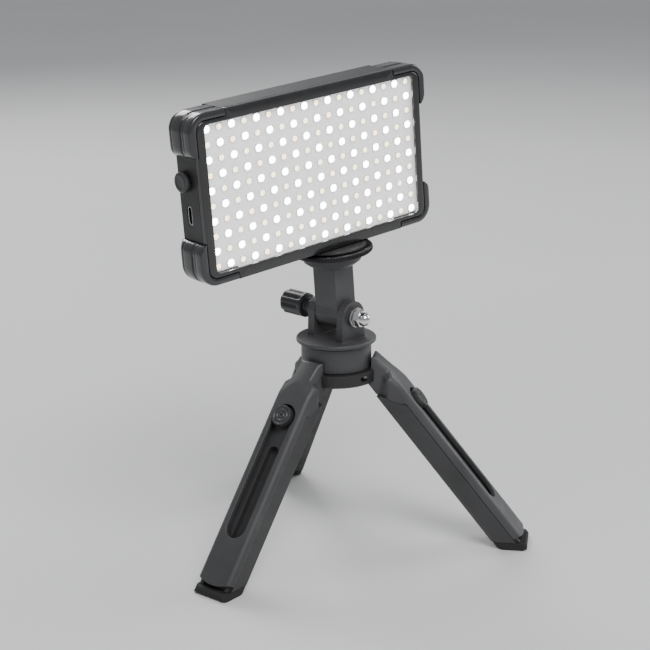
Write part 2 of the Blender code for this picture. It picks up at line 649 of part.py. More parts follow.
def build_clamp(tilt_axis, looks):
    """The thumb knob with its bolt on one side, the washer and the acorn nut on the other."""
    ear_outside = TONGUE_THICKNESS / 2 + GAP + EAR_THICKNESS
    washer_low = ear_outside + EAR_BOSS_HEIGHT + GAP
    nut_low = washer_low + WASHER_THICKNESS + GAP
    washer = [(BOLT_RADIUS + GAP, washer_low), (WASHER_RADIUS, washer_low)]
    washer += [(WASHER_RADIUS, washer_low + WASHER_THICKNESS)]
    washer += [(BOLT_RADIUS + GAP, washer_low + WASHER_THICKNESS)]
    put("nut_washer", turned(washer, 24, "x"), tilt_axis, looks["steel"])

    dome_radius = ACORN_FLATS / 2
    corners = dome_radius / math.cos(math.pi / 6)
    hexagon = arc((0, 0), corners, 0, 300, 5)
    nut_body = prism(hexagon, nut_low, nut_low + ACORN_HEX_HEIGHT, "yzx")
    nut = put("acorn_nut", nut_body, tilt_axis, looks["chrome"])
    dome_base = nut_low + ACORN_HEX_HEIGHT - 0.4
    dome_rise = ACORN_HEIGHT - ACORN_HEX_HEIGHT + 0.4
    dome = [(0, dome_base), (dome_radius - 0.1, dome_base)]
    for index in range(1, 5):
        swing = math.radians(90 * index / 5)
        dome.append(((dome_radius - 0.1) * math.cos(swing), dome_base + dome_rise * math.sin(swing)))
    dome.append((0, dome_base + dome_rise))
    combine(nut, turned(dome, 24, "x"), "UNION")
    bolt_end = nut_low + 4.5
    combine(nut, rod(BOLT_RADIUS + GAP, nut_low - 1, bolt_end + GAP, COARSE, "x"))

    collar_low = -(ear_outside + GAP)
    grip_low = collar_low - KNOB_COLLAR_LENGTH
    grip_end = grip_low - KNOB_LENGTH
    profile = [(0, grip_end), (KNOB_RADIUS - 1.2, grip_end), (KNOB_RADIUS, grip_end + 1.2)]
    profile += [(KNOB_RADIUS, grip_low - 0.8), (KNOB_RADIUS - 0.8, grip_low), (KNOB_COLLAR_RADIUS, grip_low)]
    profile += [(KNOB_COLLAR_RADIUS, collar_low), (0, collar_low)]
    knob = put("thumb_knob", turned(profile, MEDIUM, "x"), tilt_axis, looks["plastic"])
    for index in range(KNOB_LOBES):
        swing = 2 * math.pi * (index + 0.5) / KNOB_LOBES
        place = (0, (KNOB_RADIUS + 0.5) * math.cos(swing), (KNOB_RADIUS + 0.5) * math.sin(swing))
        combine(knob, rod(KNOB_FLUTE_RADIUS, grip_end - 1, grip_low - 2.0, 10, "x", place))
    bolt_start = grip_low - 4.0
    combine(knob, rod(BOLT_RADIUS + GAP, bolt_start - GAP, collar_low + 1, COARSE, "x"))
    bolt = rod(BOLT_RADIUS, bolt_start, bolt_end, COARSE, "x", bevel=0.3)
    put("tilt_bolt", bolt, tilt_axis, looks["steel"])


def build_fork(head_axis, look):
    """The pan flange, its two ears round the tilt bolt, and the spigot that turns in the hub."""
    rise = PIVOT_ABOVE_FLANGE
    low = -FLANGE_THICKNESS
    spigot_end = low - SPIGOT_LENGTH
    profile = [(0, spigot_end), (SPIGOT_RADIUS, spigot_end), (SPIGOT_RADIUS, low), (FLANGE_RADIUS - 0.7, low)]
    profile += [(FLANGE_RADIUS, low + 0.5), (FLANGE_RADIUS, -0.5), (FLANGE_RADIUS - 0.5, 0), (0, 0)]
    fork = put("pan_fork", turned(profile, FINE), head_axis, look)
    foot = EAR_WIDTH / 2
    outline = [(foot, -1.0), (foot, 0.6)] + arc((0, rise), EAR_RADIUS, -8, 188, 12)
    outline += [(-foot, 0.6), (-foot, -1.0)]
    inside = TONGUE_THICKNESS / 2 + GAP
    for side in (-1, 1):
        near, far = sorted((side * inside, side * (inside + EAR_THICKNESS)))
        combine(fork, prism(outline, near, far, "yzx"), "UNION")
    tip = inside + EAR_THICKNESS + EAR_BOSS_HEIGHT
    combine(fork, rod(EAR_BOSS_RADIUS, inside + 1, tip, 24, "x", (0, 0, rise)), "UNION")
    combine(fork, rod(BOLT_RADIUS + GAP, -tip - 1, tip + 1, COARSE, "x", (0, 0, rise)))
    combine(fork, rod(CENTRE_SCREW_RADIUS + GAP, spigot_end - 1, low - 0.5, COARSE))


def build_hub(hub_axis, looks):
    """The hub, in heights above the ground: cup, slotted base with three pins, centre screw."""
    cup_top = FLANGE_TOP - FLANGE_THICKNESS - GAP
    cup_low = CUP_LOW
    bore = SPIGOT_RADIUS + GAP
    inner = CUP_RADIUS - CUP_WALL
    cup = [(bore, cup_top), (bore, cup_top - CUP_WALL), (inner, cup_top - CUP_WALL), (inner, cup_low)]
    cup += [(CUP_RADIUS, cup_low), (CUP_RADIUS, cup_top - 0.5), (CUP_RADIUS - 0.5, cup_top)]
    put("hub_cup", turned(cup, FINE), hub_axis, looks["shell_grey"])

    base_top = BASE_TOP
    base_low = base_top - BASE_THICKNESS
    upstand = inner - GAP
    upstand_top = cup_top - CUP_WALL - GAP
    base = [(0, base_low), (BASE_RADIUS - 0.8, base_low), (BASE_RADIUS, base_low + 0.8)]
    base += [(BASE_RADIUS, base_top), (upstand, base_top), (upstand, upstand_top), (0, upstand_top)]
    hub = put("hub_base", turned(base, FINE), hub_axis, looks["black"])
    spigot_end = FLANGE_TOP - FLANGE_THICKNESS - SPIGOT_LENGTH
    combine(hub, rod(bore, spigot_end - GAP, upstand_top + 1, MEDIUM))
    head_top = base_low + 2.4
    head_bore = CENTRE_SCREW_HEAD + GAP
    shank_bore = CENTRE_SCREW_RADIUS + GAP
    screw_hole = [(0, base_low - 1), (head_bore, base_low - 1), (head_bore, head_top)]
    screw_hole += [(shank_bore, head_top), (shank_bore, upstand_top), (0, upstand_top)]
    combine(hub, turned(screw_hole, COARSE))
    screw_end = FLANGE_TOP - FLANGE_THICKNESS - 1.2
    screw = [(0, base_low + 0.2), (CENTRE_SCREW_HEAD, base_low + 0.2), (CENTRE_SCREW_HEAD, head_top - GAP)]
    screw += [(CENTRE_SCREW_RADIUS, head_top - GAP), (CENTRE_SCREW_RADIUS, screw_end), (0, screw_end)]
    put("centre_screw", turned(screw, COARSE), hub_axis, looks["steel"])

    for number in range(LEG_COUNT):
        turn = FIRST_LEG_TURN - 90 + number * 360 / LEG_COUNT
        place = Matrix.Rotation(math.radians(turn), 4, "Z")
        place = place @ Matrix.Translation((0, HINGE_RADIUS, HINGE_HEIGHT))
        half = LEG_NECK_WIDTH / 2 + GAP
        slot = block((-half, -HINGE_EYE_RADIUS - GAP, -10), (half, 20, HINGE_BELOW_BASE_TOP + 0.2))
        slot.transform(place)
        combine(hub, slot)
        pin_hole = rod(PIN_RADIUS + GAP, -PIN_LENGTH / 2 - GAP, BASE_RADIUS + 1, 14, "x")
        pin_hole.transform(place)
        combine(hub, pin_hole)
        pin = rod(PIN_RADIUS, -PIN_LENGTH / 2, PIN_LENGTH / 2, 14, "x")
        pin.transform(place)
        put(f"hinge_pin_{number + 1}", pin, hub_axis, looks["steel"])


# ---------------------------------------------------------------- legs
# A leg's own frame: X across it, Y out of its face, Z up along it, with the hinge at zero.


def leg_section():
    """The leg's outline across its length: a flat face with rounded shoulders."""
    half = LEG_WIDTH / 2
    face_half = LEG_FACE_WIDTH / 2
    drop = LEG_FACE_DROP
    right = [(half, LEG_FACE - LEG_DEPTH - 2), (half, LEG_FACE - drop)]
    for index in range(1, 5):
        swing = math.radians(90 * index / 4)
        across = face_half + (half - face_half) * math.cos(swing)
        right.append((across, LEG_FACE - drop + drop * math.sin(swing)))
    return right + [(-across, out) for across, out in reversed(right)]


def flare(shift=0.0):
    """The shell's lower edge seen from the side, as (out, down) points from the back to the skirt."""
    back = LEG_FACE - LEG_DEPTH
    skirt = LEG_FACE - SKIRT_DEPTH
    points = []
    for index in range(7):
        share = index / 6
        ease = math.sin(share * math.pi / 2)
        rise = (1 - math.cos(ease * 1.2)) / (1 - math.cos(1.2))
        down = FLARE_START + shift + (FLARE_END - FLARE_START) * rise
        points.append((back + (skirt - back) * share, down))
    return points


def side_outline(inner_line):
    """The shell from the side, as (out, up) points: inner_line gives its top edge next to the hub."""
    back = LEG_FACE - LEG_DEPTH
    edge = [(out, -down) for out, down in flare()]
    low = [(LEG_FACE - SKIRT_DEPTH, -LEG_LENGTH + 1.0), (LEG_FACE, -LEG_LENGTH)]
    outline = inner_line + [(back, -FLARE_START + 3.0)] + edge + low
    return outline


def below_shell():
    """The space under the shell's end, whose edge is an arc that is lowest in the middle."""
    half = LEG_WIDTH / 2
    radius = (half**2 + LEG_END_SAG**2) / (2 * LEG_END_SAG)
    reach = math.degrees(math.asin((half + 1) / radius))
    edge = arc((0, radius - LEG_LENGTH), radius, 270 - reach, 270 + reach, 12)
    return edge + [(half + 1, -LEG_LENGTH - 20), (-half - 1, -LEG_LENGTH - 20)]


def build_leg(number, hinge, looks):
    """A leg's shell, its sliding core with the foot, and the release button with its spring."""
    back = LEG_FACE - LEG_DEPTH
    half = LEG_WIDTH / 2
    neck_half = LEG_NECK_WIDTH / 2
    section = prism(leg_section(), -LEG_LENGTH - 5, LEG_NECK_TOP + 1, "xyz")
    shell = put(f"leg_shell_{number}", section, hinge, looks["shell_grey"])
    neck = [(LEG_FACE, LEG_NECK_TOP - 1.5), (LEG_FACE - 1.5, LEG_NECK_TOP), (7.4, LEG_NECK_TOP)]
    neck += [(4.6, 1.6), (3.5, 0.9)] + arc((0, 0), HINGE_EYE_RADIUS, 60, 200, 6) + [(back, -2.2)]
    combine(shell, prism(side_outline(neck), -half - 2, half + 2, "yzx"), "INTERSECT")
    above = [(LEG_FACE + 5, -LEG_SHOULDER), (8.2 + 0.78 * LEG_SHOULDER, -LEG_SHOULDER), (1.0, -9.6)]
    above += [(back - 5, -10.5), (back - 5, 12), (LEG_FACE + 5, 12)]
    for beside in ((-half - 3, -neck_half), (neck_half, half + 3)):
        combine(shell, prism(above, *beside, "yzx"))

    inner = half - SHELL_WALL
    under_face = LEG_FACE - SHELL_FRONT_WALL
    combine(shell, block((-inner, back - 1, -LEG_LENGTH - 10), (inner, under_face, -LEG_BLOCK_END)))
    slot_end = BUTTON_FROM_HINGE + LEG_TRAVEL + 2.0
    meet = math.degrees(math.acos(min(1.0, SLOT_WIDTH / 2 / KEYHOLE_RADIUS)))
    hole = arc((0, -BUTTON_FROM_HINGE), KEYHOLE_RADIUS, -meet, 180 + meet, 14)
    hole += arc((0, -slot_end), SLOT_WIDTH / 2, 180, 360, 10)
    combine(shell, prism(hole, under_face - 1, LEG_FACE + 1, "xzy"))
    combine(shell, rod(PIN_RADIUS + GAP, -half - 1, half + 1, 14, "x"))
    combine(shell, prism(below_shell(), back - 5, LEG_FACE + 5, "xzy"))

    build_core(number, hinge, looks)


def build_core(number, hinge, looks):
    back = LEG_FACE - LEG_DEPTH
    half = LEG_WIDTH / 2 - 0.2
    ledge = LEG_FACE - SKIRT_DEPTH - SLIDING_GAP
    face = LEG_FACE - CORE_FACE_BELOW_SHELL
    edge = [(out, -down) for out, down in flare(GAP * 1.4) if out < ledge]
    low = -LEG_LENGTH - 20
    body = edge + [(ledge, -FLARE_END - 1.0), (ledge, low), (back, low)]
    core = put(f"leg_core_{number}", prism(body, -half, half, "yzx"), hinge, looks["black"])
    inner = LEG_WIDTH / 2 - SHELL_WALL - SLIDING_GAP
    top = LEG_BLOCK_END + GAP
    rail_top = LEG_FACE - SHELL_FRONT_WALL - SLIDING_GAP
    trough = inner - CORE_RAIL_WIDTH
    slide = [(-inner, back + 1.0), (inner, back + 1.0), (inner, rail_top), (trough, rail_top), (trough, face)]
    slide += [(-trough, face), (-trough, rail_top), (-inner, rail_top)]
    combine(core, prism(slide, low - 1, -top, "xyz"), "UNION")
    ends = (back - 5, LEG_FACE + 5)
    waste = [(ends[0], FOOT_THICKNESS - ground(ends[0])), (ends[0], low - 30)]
    waste += [(ends[1], low - 30), (ends[1], FOOT_THICKNESS - ground(ends[1]))]
    combine(core, prism(waste, -half - 3, half + 3, "yzx"))
    end = FOOT_THICKNESS - ground(ledge)
    groove_half = CORE_GROOVE_WIDTH / 2
    start = BUTTON_FROM_HINGE + CORE_GROOVE_START
    groove = arc((0, -start - groove_half), groove_half, 0, 180, 8)
    groove += [(-groove_half, end + 8), (groove_half, end + 8)]
    combine(core, prism(groove, face - CORE_GROOVE_DEPTH, face + 3, "xzy"))
    pocket = spring_pocket()
    combine(core, turned(pocket, COARSE, "y", (0, 0, -BUTTON_FROM_HINGE)))
    for side in (-1, 1):
        corner = [(side * (half + 1), back - 1), (side * (half - CORE_TAPER), back - 1)]
        corner += [(side * (half + 1), back + CORE_TAPER + 1)]
        combine(core, prism(corner, -LEG_LENGTH - 10, 0, "xyz"))
    build_foot(number, hinge, looks["rubber"])

    press_axis = frame_at(f"button_axis_{number}", hinge, (0, 0, -BUTTON_FROM_HINGE))
    cap_top = LEG_FACE + BUTTON_PROUD
    cap_low = face + BUTTON_PRESS + GAP
    button = [(0, back + 4.0), (BUTTON_STEM_RADIUS, back + 4.0)]
    button += [(BUTTON_STEM_RADIUS, cap_low), (BUTTON_RADIUS, cap_low)]
    button += [(BUTTON_RADIUS, cap_top - 0.6), (BUTTON_RADIUS - 0.6, cap_top), (BUTTON_RADIUS - 1.6, cap_top)]
    button += [(1.4, cap_top - 0.5), (0, cap_top - 0.5)]
    put(f"leg_button_{number}", turned(button, 24, "y"), press_axis, looks["plastic"])
    build_spring(number, press_axis, looks["steel"], cap_low)


def spring_pocket():
    """The stepped hole in the core for the button's stem and spring."""
    face = LEG_FACE - CORE_FACE_BELOW_SHELL
    back = LEG_FACE - LEG_DEPTH
    floor = face - 4.0
    stem = BUTTON_STEM_RADIUS + GAP
    wide = BUTTON_STEM_RADIUS + 2 * GAP + 2 * SPRING_WIRE_RADIUS + GAP
    low = back + 4.0 - BUTTON_PRESS - GAP
    return [(0, low), (stem, low), (stem, floor), (wide, floor), (wide, face + 3), (0, face + 3)]


def build_spring(number, parent, look, top):
    """A coil round the button's stem, from the pocket's floor to the underside of the cap."""
    face = LEG_FACE - CORE_FACE_BELOW_SHELL
    low = face - 4.0 + GAP + SPRING_WIRE_RADIUS
    high = top - BUTTON_PRESS - GAP - SPRING_WIRE_RADIUS
    radius = BUTTON_STEM_RADIUS + GAP + SPRING_WIRE_RADIUS
    steps = SPRING_TURNS * 10
    coil = bpy.data.curves.new(f"button_spring_{number}", "CURVE")
    coil.dimensions = "3D"
    line = coil.splines.new("POLY")
    line.points.add(steps)
    for index in range(steps + 1):
        swing = 2 * math.pi * SPRING_TURNS * index / steps
        height = low + (high - low) * index / steps
        place = Vector((radius * math.cos(swing), height, radius * math.sin(swing))) * MM
        line.points[index].co = (*place, 1.0)
    coil.bevel_depth = SPRING_WIRE_RADIUS * MM
    coil.bevel_resolution = 0
    coil.use_fill_caps = True
    coil.materials.append(look)
    thing = bpy.data.objects.new(f"button_spring_{number}", coil)
    bpy.context.scene.collection.objects.link(thing)
    thing.parent = parent


def ground(out):
    """How far down the leg the ground lies, at a distance out of the hinge towards its face."""
    return (HINGE_HEIGHT + out * math.sin(LEAN)) / math.cos(LEAN)


def foot_top(out):
    """Where the foot's top lies, as a height up the leg."""
    return FOOT_THICKNESS - GAP - ground(out)


def build_foot(number, hinge, look):
    """The rubber foot on the core's end, cut flat where it stands."""
    back = LEG_FACE - LEG_DEPTH
    front = LEG_FACE - 0.3
    half = LEG_WIDTH / 2 - 0.3
    outline = [(back, foot_top(back)), (front, foot_top(front)), (front, FOOT_ROUNDING - ground(front))]
    outline += [(front - 1.1, FOOT_ROUNDING * 0.35 - ground(front - 1.1))]
    outline += [(front - FOOT_ROUNDING, -ground(front - FOOT_ROUNDING)), (back + 1.5, -ground(back + 1.5))]
    outline += [(back, -ground(back) + 1.2)]
    foot = put(f"leg_foot_{number}", prism(outline, -half, half, "yzx"), hinge, look)
    corners = rounded_rectangle(half, (front - back) / 2, 3.0, 4, (0, (front + back) / 2))
    combine(foot, prism(corners, -LEG_LENGTH - 30, 0, "xyz"), "INTERSECT")



def finishes():
    return {
        "shell_black": finish("black_shell", (0.02, 0.02, 0.022), 0.5),
        "shell_grey": finish("grey_shell", (0.07, 0.07, 0.075), 0.5),
        "bumper": finish("smoked_bumper", (0.03, 0.03, 0.035), 0.25),
        "clear": finish("clear_window", (0.9, 0.9, 0.9), 0.1),
        "board": finish("white_board", (0.8, 0.8, 0.78), 0.5),
        "board_green": finish("green_board", (0.03, 0.15, 0.06), 0.5),
        "battery": finish("battery_wrap", (0.1, 0.2, 0.45), 0.4),
        "metal": finish("sheet_aluminium", (0.7, 0.7, 0.72), 0.4, 1.0),
        "steel": finish("plain_steel", (0.55, 0.55, 0.56), 0.35, 1.0),
        "chrome": finish("bright_chrome", (0.85, 0.85, 0.86), 0.08, 1.0),
        "brass": finish("turned_brass", (0.8, 0.6, 0.25), 0.35, 1.0),
        "ring": finish("dark_ring", (0.05, 0.05, 0.052), 0.4, 0.6),
        "rubber": finish("black_rubber", (0.015, 0.015, 0.015), 0.8),
        "plastic": finish("dark_plastic", (0.04, 0.04, 0.043), 0.45),
        "black": finish("black_plastic", (0.012, 0.012, 0.013), 0.55),
        "dial": finish("dial_plastic", (0.06, 0.06, 0.063), 0.4),
        "smoked": finish("smoked_glass", (0.01, 0.01, 0.012), 0.1),
    }


def stand_on_origin(root):
    """Moves the root so that the model's box has its bottom centre at the world's origin."""
    bpy.context.view_layer.update()
    graph = bpy.context.evaluated_depsgraph_get()
    corners = []
    for thing in bpy.context.scene.objects:
        if thing.hide_render or thing.type not in ("MESH", "CURVE"):
            continue
        solid = thing.evaluated_get(graph)
        mesh = solid.to_mesh()
        corners += [solid.matrix_world @ vertex.co for vertex in mesh.vertices]
        solid.to_mesh_clear()
    low = [min(corner[axis] for corner in corners) for axis in range(3)]
    high = [max(corner[axis] for corner in corners) for axis in range(3)]
    middle = [(bottom + top) / 2 for bottom, top in zip(low, high)]
    root.location = (-middle[0], -middle[1], -low[2])


def main():
    clear_scene()
    looks = finishes()
    root = frame_at("light_stand", None)
    build_hub(root, looks)
    for number in range(LEG_COUNT):
        turn = FIRST_LEG_TURN - 90 + number * 360 / LEG_COUNT
        swing = math.radians(turn + 90)
        place = (HINGE_RADIUS * math.cos(swing), HINGE_RADIUS * math.sin(swing), HINGE_HEIGHT)
        hinge = frame_at(f"leg_hinge_{number + 1}", root, place, (LEG_LEAN, 0, turn))
        build_leg(number + 1, hinge, looks)
    head_axis = frame_at("head_axis", root, (0, 0, FLANGE_TOP), (0, 0, HEAD_TURN))
    build_fork(head_axis, looks["shell_grey"])
    clamp_axis = frame_at("clamp_axis", head_axis, (0, 0, PIVOT_ABOVE_FLANGE))
    build_clamp(clamp_axis, looks)
    tilt_axis = frame_at("tilt_axis", head_axis, (0, 0, PIVOT_ABOVE_FLANGE), (TILT_AT_REST, 0, 0))
    ring_low = build_stud_parts(tilt_axis, looks)
    build_tongue(tilt_axis, looks["shell_grey"], ring_low)
    light_axis = frame_at("light_axis", tilt_axis, (0, 0, PIVOT_TO_BODY), (0, 0, -HEAD_TURN))
    build_lamp(light_axis, looks)
    stand_on_origin(root)


main()
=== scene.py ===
"""LED panel light on a folding table tripod: finished surfaces laid over the CAD frame.

Lengths are in millimetres in each sub-assembly's own axes, and Axes.world turns them into
metres in the frame that the CAD model uses. A shape is a grid of points worked out with numpy.
"""

import json
import logging
import math
from dataclasses import dataclass, field
from enum import Enum
from typing import Callable

import bmesh
import bpy
import numpy as np
from mathutils import Matrix, Vector


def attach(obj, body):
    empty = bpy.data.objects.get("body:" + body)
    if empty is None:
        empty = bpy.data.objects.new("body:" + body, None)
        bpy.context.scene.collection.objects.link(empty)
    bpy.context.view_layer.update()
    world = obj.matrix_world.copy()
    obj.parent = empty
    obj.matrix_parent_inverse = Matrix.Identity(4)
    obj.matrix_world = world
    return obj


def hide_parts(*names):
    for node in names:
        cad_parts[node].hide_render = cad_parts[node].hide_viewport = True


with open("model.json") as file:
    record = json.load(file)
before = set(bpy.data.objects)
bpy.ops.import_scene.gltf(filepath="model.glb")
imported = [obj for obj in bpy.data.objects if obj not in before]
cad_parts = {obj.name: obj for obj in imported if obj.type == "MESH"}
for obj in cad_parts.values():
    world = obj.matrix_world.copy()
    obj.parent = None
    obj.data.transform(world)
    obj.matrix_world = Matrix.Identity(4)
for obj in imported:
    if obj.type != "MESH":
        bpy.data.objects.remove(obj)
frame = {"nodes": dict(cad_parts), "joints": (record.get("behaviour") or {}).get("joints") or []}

LOG = logging.getLogger("panel_light")
MM = 0.001
SAME_BEARING = 1e-4
POLE = 1e-6
WELD = 1e-7
Colour = tuple[float, float, float]
Relief = Callable[[np.ndarray, np.ndarray, np.ndarray], np.ndarray]


# ---------------------------------------------------------------- places


@dataclass(frozen=True)
class Axes:
    """A sub-assembly's own axes: an origin in metres and three unit directions."""

    origin: np.ndarray
    x: np.ndarray
    y: np.ndarray
    z: np.ndarray

    def world(self, points: np.ndarray) -> np.ndarray:
        """Points in millimetres here, as metres in the model's frame.

        Args:
            points: an array whose last axis is x, y, z.

        Returns:
            The same array shape, in metres.
        """
        turned = points[..., 0:1] * self.x + points[..., 1:2] * self.y + points[..., 2:3] * self.z
        return self.origin + turned * MM

    def moved(self, x: float, y: float, z: float) -> "Axes":
        """The same directions from a point x, y, z millimetres away."""
        return Axes(self.world(np.array([x, y, z])), self.x, self.y, self.z)

    def matrix(self) -> Matrix:
        """The axes as a 4 by 4 matrix.

        Returns:
            A matrix whose columns are x, y, z and the origin.
        """
        grid = np.eye(4)
        grid[:3, 0], grid[:3, 1], grid[:3, 2], grid[:3, 3] = self.x, self.y, self.z, self.origin
        return Matrix(grid.tolist())


class Joints:
    """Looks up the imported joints, which place every sub-assembly."""

    def __init__(self, joints: list[dict]) -> None:
        """Keeps the joints by name."""
        self.by_name = {joint["name"]: joint for joint in joints}

    def axis(self, name: str) -> np.ndarray:
        """The unit direction of one joint."""
        axis = np.array(self.by_name[name]["axis"], float)
        return axis / np.linalg.norm(axis)

    def place(self, name: str) -> np.ndarray:
        """A point on one hinge's axis, in metres."""
        return np.array(self.by_name[name]["pos_m"], float)

    def axes(self, origin: np.ndarray, x: np.ndarray, z: np.ndarray) -> Axes:
        """Axes from an origin, an X direction and a Z direction at right angles to it."""
        return Axes(origin, x, np.cross(z, x), z)


# ---------------------------------------------------------------- outlines and grids


def arc(
    centre: tuple[float, float], radius: float, start: float, end: float, steps: int
) -> np.ndarray:
    """Points on a circle: centre + radius * (cos a, sin a), with a running evenly in degrees.

    Args:
        centre: the circle's middle.
        radius: its radius.
        start: the first angle.
        end: the last angle.
        steps: the number of spaces between points.

    Returns:
        An array of steps + 1 points.
    """
    angle = np.radians(np.linspace(start, end, steps + 1))
    return np.stack([centre[0] + radius * np.cos(angle), centre[1] + radius * np.sin(angle)], -1)


def fillet(
    points: list[tuple[float, float]], radius: float, steps: int = 3, closed: bool = False
) -> np.ndarray:
    """An outline with each corner C rounded: (1-t)^2 A + 2t(1-t) C + t^2 B.

    A and B lie on the two sides, the radius away from the corner or 0.45 of the side if that is
    less.

    Args:
        points: the corners in order.
        radius: how far from each corner the rounding starts.
        steps: the number of spaces along each rounding.
        closed: whether the last corner leads back to the first.

    Returns:
        An array of two-number points.
    """
    most_of_side = 0.45
    corner = np.array(points, float)
    before = np.roll(corner, 1, 0) - corner
    after = np.roll(corner, -1, 0) - corner
    near = np.linalg.norm(before, axis=1, keepdims=True)
    far = np.linalg.norm(after, axis=1, keepdims=True)
    first = corner + before / near * np.minimum(radius, most_of_side * near)
    last = corner + after / far * np.minimum(radius, most_of_side * far)
    share = np.linspace(0, 1, steps + 1)[None, :, None]
    curve = (1 - share) ** 2 * first[:, None] + 2 * share * (1 - share) * corner[:, None]
    curve = curve + share**2 * last[:, None]
    if closed:
        return curve.reshape(-1, 2)
    return np.concatenate([corner[:1], curve[1:-1].reshape(-1, 2), corner[-1:]])


def rounded_rectangle(
    half_width: float, half_height: float, radius: float, steps: int = 6
) -> np.ndarray:
    """A rectangle's outline with round corners: four quarter circles joined by straight sides.

    Args:
        half_width: half its width.
        half_height: half its height.
        radius: the corners' radius.
        steps: the number of spaces along each corner.

    Returns:
        The closed outline's points.
    """
    wide, high = half_width - radius, half_height - radius
    quarters = [
        arc((across * wide, up * high), radius, 90 * turn, 90 * turn + 90, steps)
        for turn, (across, up) in enumerate(((1, 1), (-1, 1), (-1, -1), (1, -1)))
    ]
    return np.concatenate(quarters)


def cast(outline: np.ndarray, angle: np.ndarray) -> np.ndarray:
    """Where rays from the middle meet a closed outline that goes once round it.

    A ray d meets the side from A to B at (A x B) / (d x (B - A)) along it.

    Args:
        outline: the closed outline's points.
        angle: the rays' angles in radians.

    Returns:
        One point for each ray.
    """
    bearing = np.unwrap(np.arctan2(outline[:, 1], outline[:, 0]))
    if bearing[-1] < bearing[0]:
        outline, bearing = outline[::-1], bearing[::-1]
    start = bearing[0]
    order = np.argsort(bearing, kind="stable")
    outline, bearing = outline[order], bearing[order]
    turned = start + (angle - start) % (2 * math.pi)
    index = np.searchsorted(bearing, turned, side="right") - 1
    first = outline[index]
    second = outline[(index + 1) % len(outline)]
    side = second - first
    ray = np.stack([np.cos(angle), np.sin(angle)], -1)
    top = first[:, 0] * second[:, 1] - first[:, 1] * second[:, 0]
    under = ray[:, 0] * side[:, 1] - ray[:, 1] * side[:, 0]
    return ray * (top / under)[:, None]


def bearings(*outlines: np.ndarray) -> np.ndarray:
    """The angles of all the outlines' points, in order and without repeats.

    Args:
        outlines: closed outlines round the same middle.

    Returns:
        Rising angles in radians.
    """
    found = np.concatenate([np.arctan2(line[:, 1], line[:, 0]) for line in outlines])
    found = np.sort(found % (2 * math.pi))
    return found[np.append(np.diff(found) > SAME_BEARING, True)]


@dataclass
class Surface:
    """A closed surface being gathered: points in metres and faces of any number of corners."""

    points: list[np.ndarray] = field(default_factory=list)
    faces: list[list[int]] = field(default_factory=list)
    count: int = 0

    def add(self, points: np.ndarray, faces: list[list[int]]) -> None:
        """Adds a block of points, and faces that count from its first point.

        Args:
            points: an array whose last axis is x, y, z, in metres.
            faces: lists of places in that array.
        """
        self.points.append(points.reshape(-1, 3))
        base = self.count
        self.faces.extend((np.array(face) + base).tolist() for face in faces)
        self.count += len(self.points[-1])

    def tube(self, rings: np.ndarray, axes: Axes, loop: bool = False) -> "Surface":
        """Adds rings of points joined one to the next, with each end closed by a point or a face.

        A ring whose points all meet is a pole, and is joined by triangles. With loop, the last
        ring leads back to the first.

        Args:
            rings: an array of rings by points by x, y, z, in millimetres.
            axes: where those millimetres are measured from.
            loop: whether the rings close on themselves, as round a frame.

        Returns:
            This surface.
        """
        rows, columns = rings.shape[:2]
        spread = np.ptp(rings, axis=1).max(axis=1)
        pole_first = not loop and spread[0] < POLE
        pole_last = not loop and spread[-1] < POLE
        number = np.arange(rows * columns).reshape(rows, columns)
        body = np.vstack([number, number[:1]]) if loop else number
        body = body[1 if pole_first else 0 : len(body) - (1 if pole_last else 0)]
        after = np.roll(body, -1, 1)
        quads = np.stack([body[:-1], after[:-1], after[1:], body[1:]], -1).reshape(-1, 4).tolist()
        step = np.roll(number, -1, 1)
        if pole_first:
            hub = np.full(columns, number[0, 0])
            quads += np.stack([hub, step[1], number[1]], -1).tolist()
        elif not loop:
            quads.append(number[0][::-1].tolist())
        if pole_last:
            hub = np.full(columns, number[-1, 0])
            quads += np.stack([hub, number[-2], step[-2]], -1).tolist()
        elif not loop:
            quads.append(number[-1].tolist())
        self.add(axes.world(rings), quads)
        return self

    def copies(self, rings: np.ndarray, offsets: np.ndarray, axes: Axes) -> "Surface":
        """Adds the same small tube at many places, all the points worked out as one array.

        Args:
            rings: rings of points, as for tube.
            offsets: one x, y, z shift in millimetres for each copy.
            axes: where they are measured from.

        Returns:
            This surface.
        """
        one = Surface().tube(rings, axes)
        places = offsets[:, None, :] + rings.reshape(-1, 3)[None]
        base = np.arange(len(offsets)) * one.count
        faces = []
        for length in sorted({len(face) for face in one.faces}):
            block = np.array([face for face in one.faces if len(face) == length])
            faces += (base[:, None, None] + block[None]).reshape(-1, length).tolist()
        self.add(axes.world(places), faces)
        return self

    def piece(self, name: str, finish: "Finish", sharp: float = 35.0) -> bpy.types.Object:
        """Makes the surface a smooth-shaded object at the origin, wearing a finish.

        Args:
            name: the object's name.
            finish: what it is made of.
            sharp: the angle in degrees past which an edge stays sharp.

        Returns:
            The new object.
        """
        mesh = bpy.data.meshes.new(name)
        mesh.from_pydata(np.concatenate(self.points).tolist(), [], self.faces)
        mesh.update()
        solid = bpy.data.objects.new(name, mesh)
        bpy.context.scene.collection.objects.link(solid)
        shape = bmesh.new()
        shape.from_mesh(mesh)
        bmesh.ops.remove_doubles(shape, verts=shape.verts, dist=WELD)
        bmesh.ops.recalc_face_normals(shape, faces=shape.faces)
        shape.to_mesh(mesh)
        shape.free()
        mesh.shade_smooth()
        mesh.set_sharp_from_angle(angle=math.radians(sharp))
        mesh.materials.append(finish.material())
        return solid


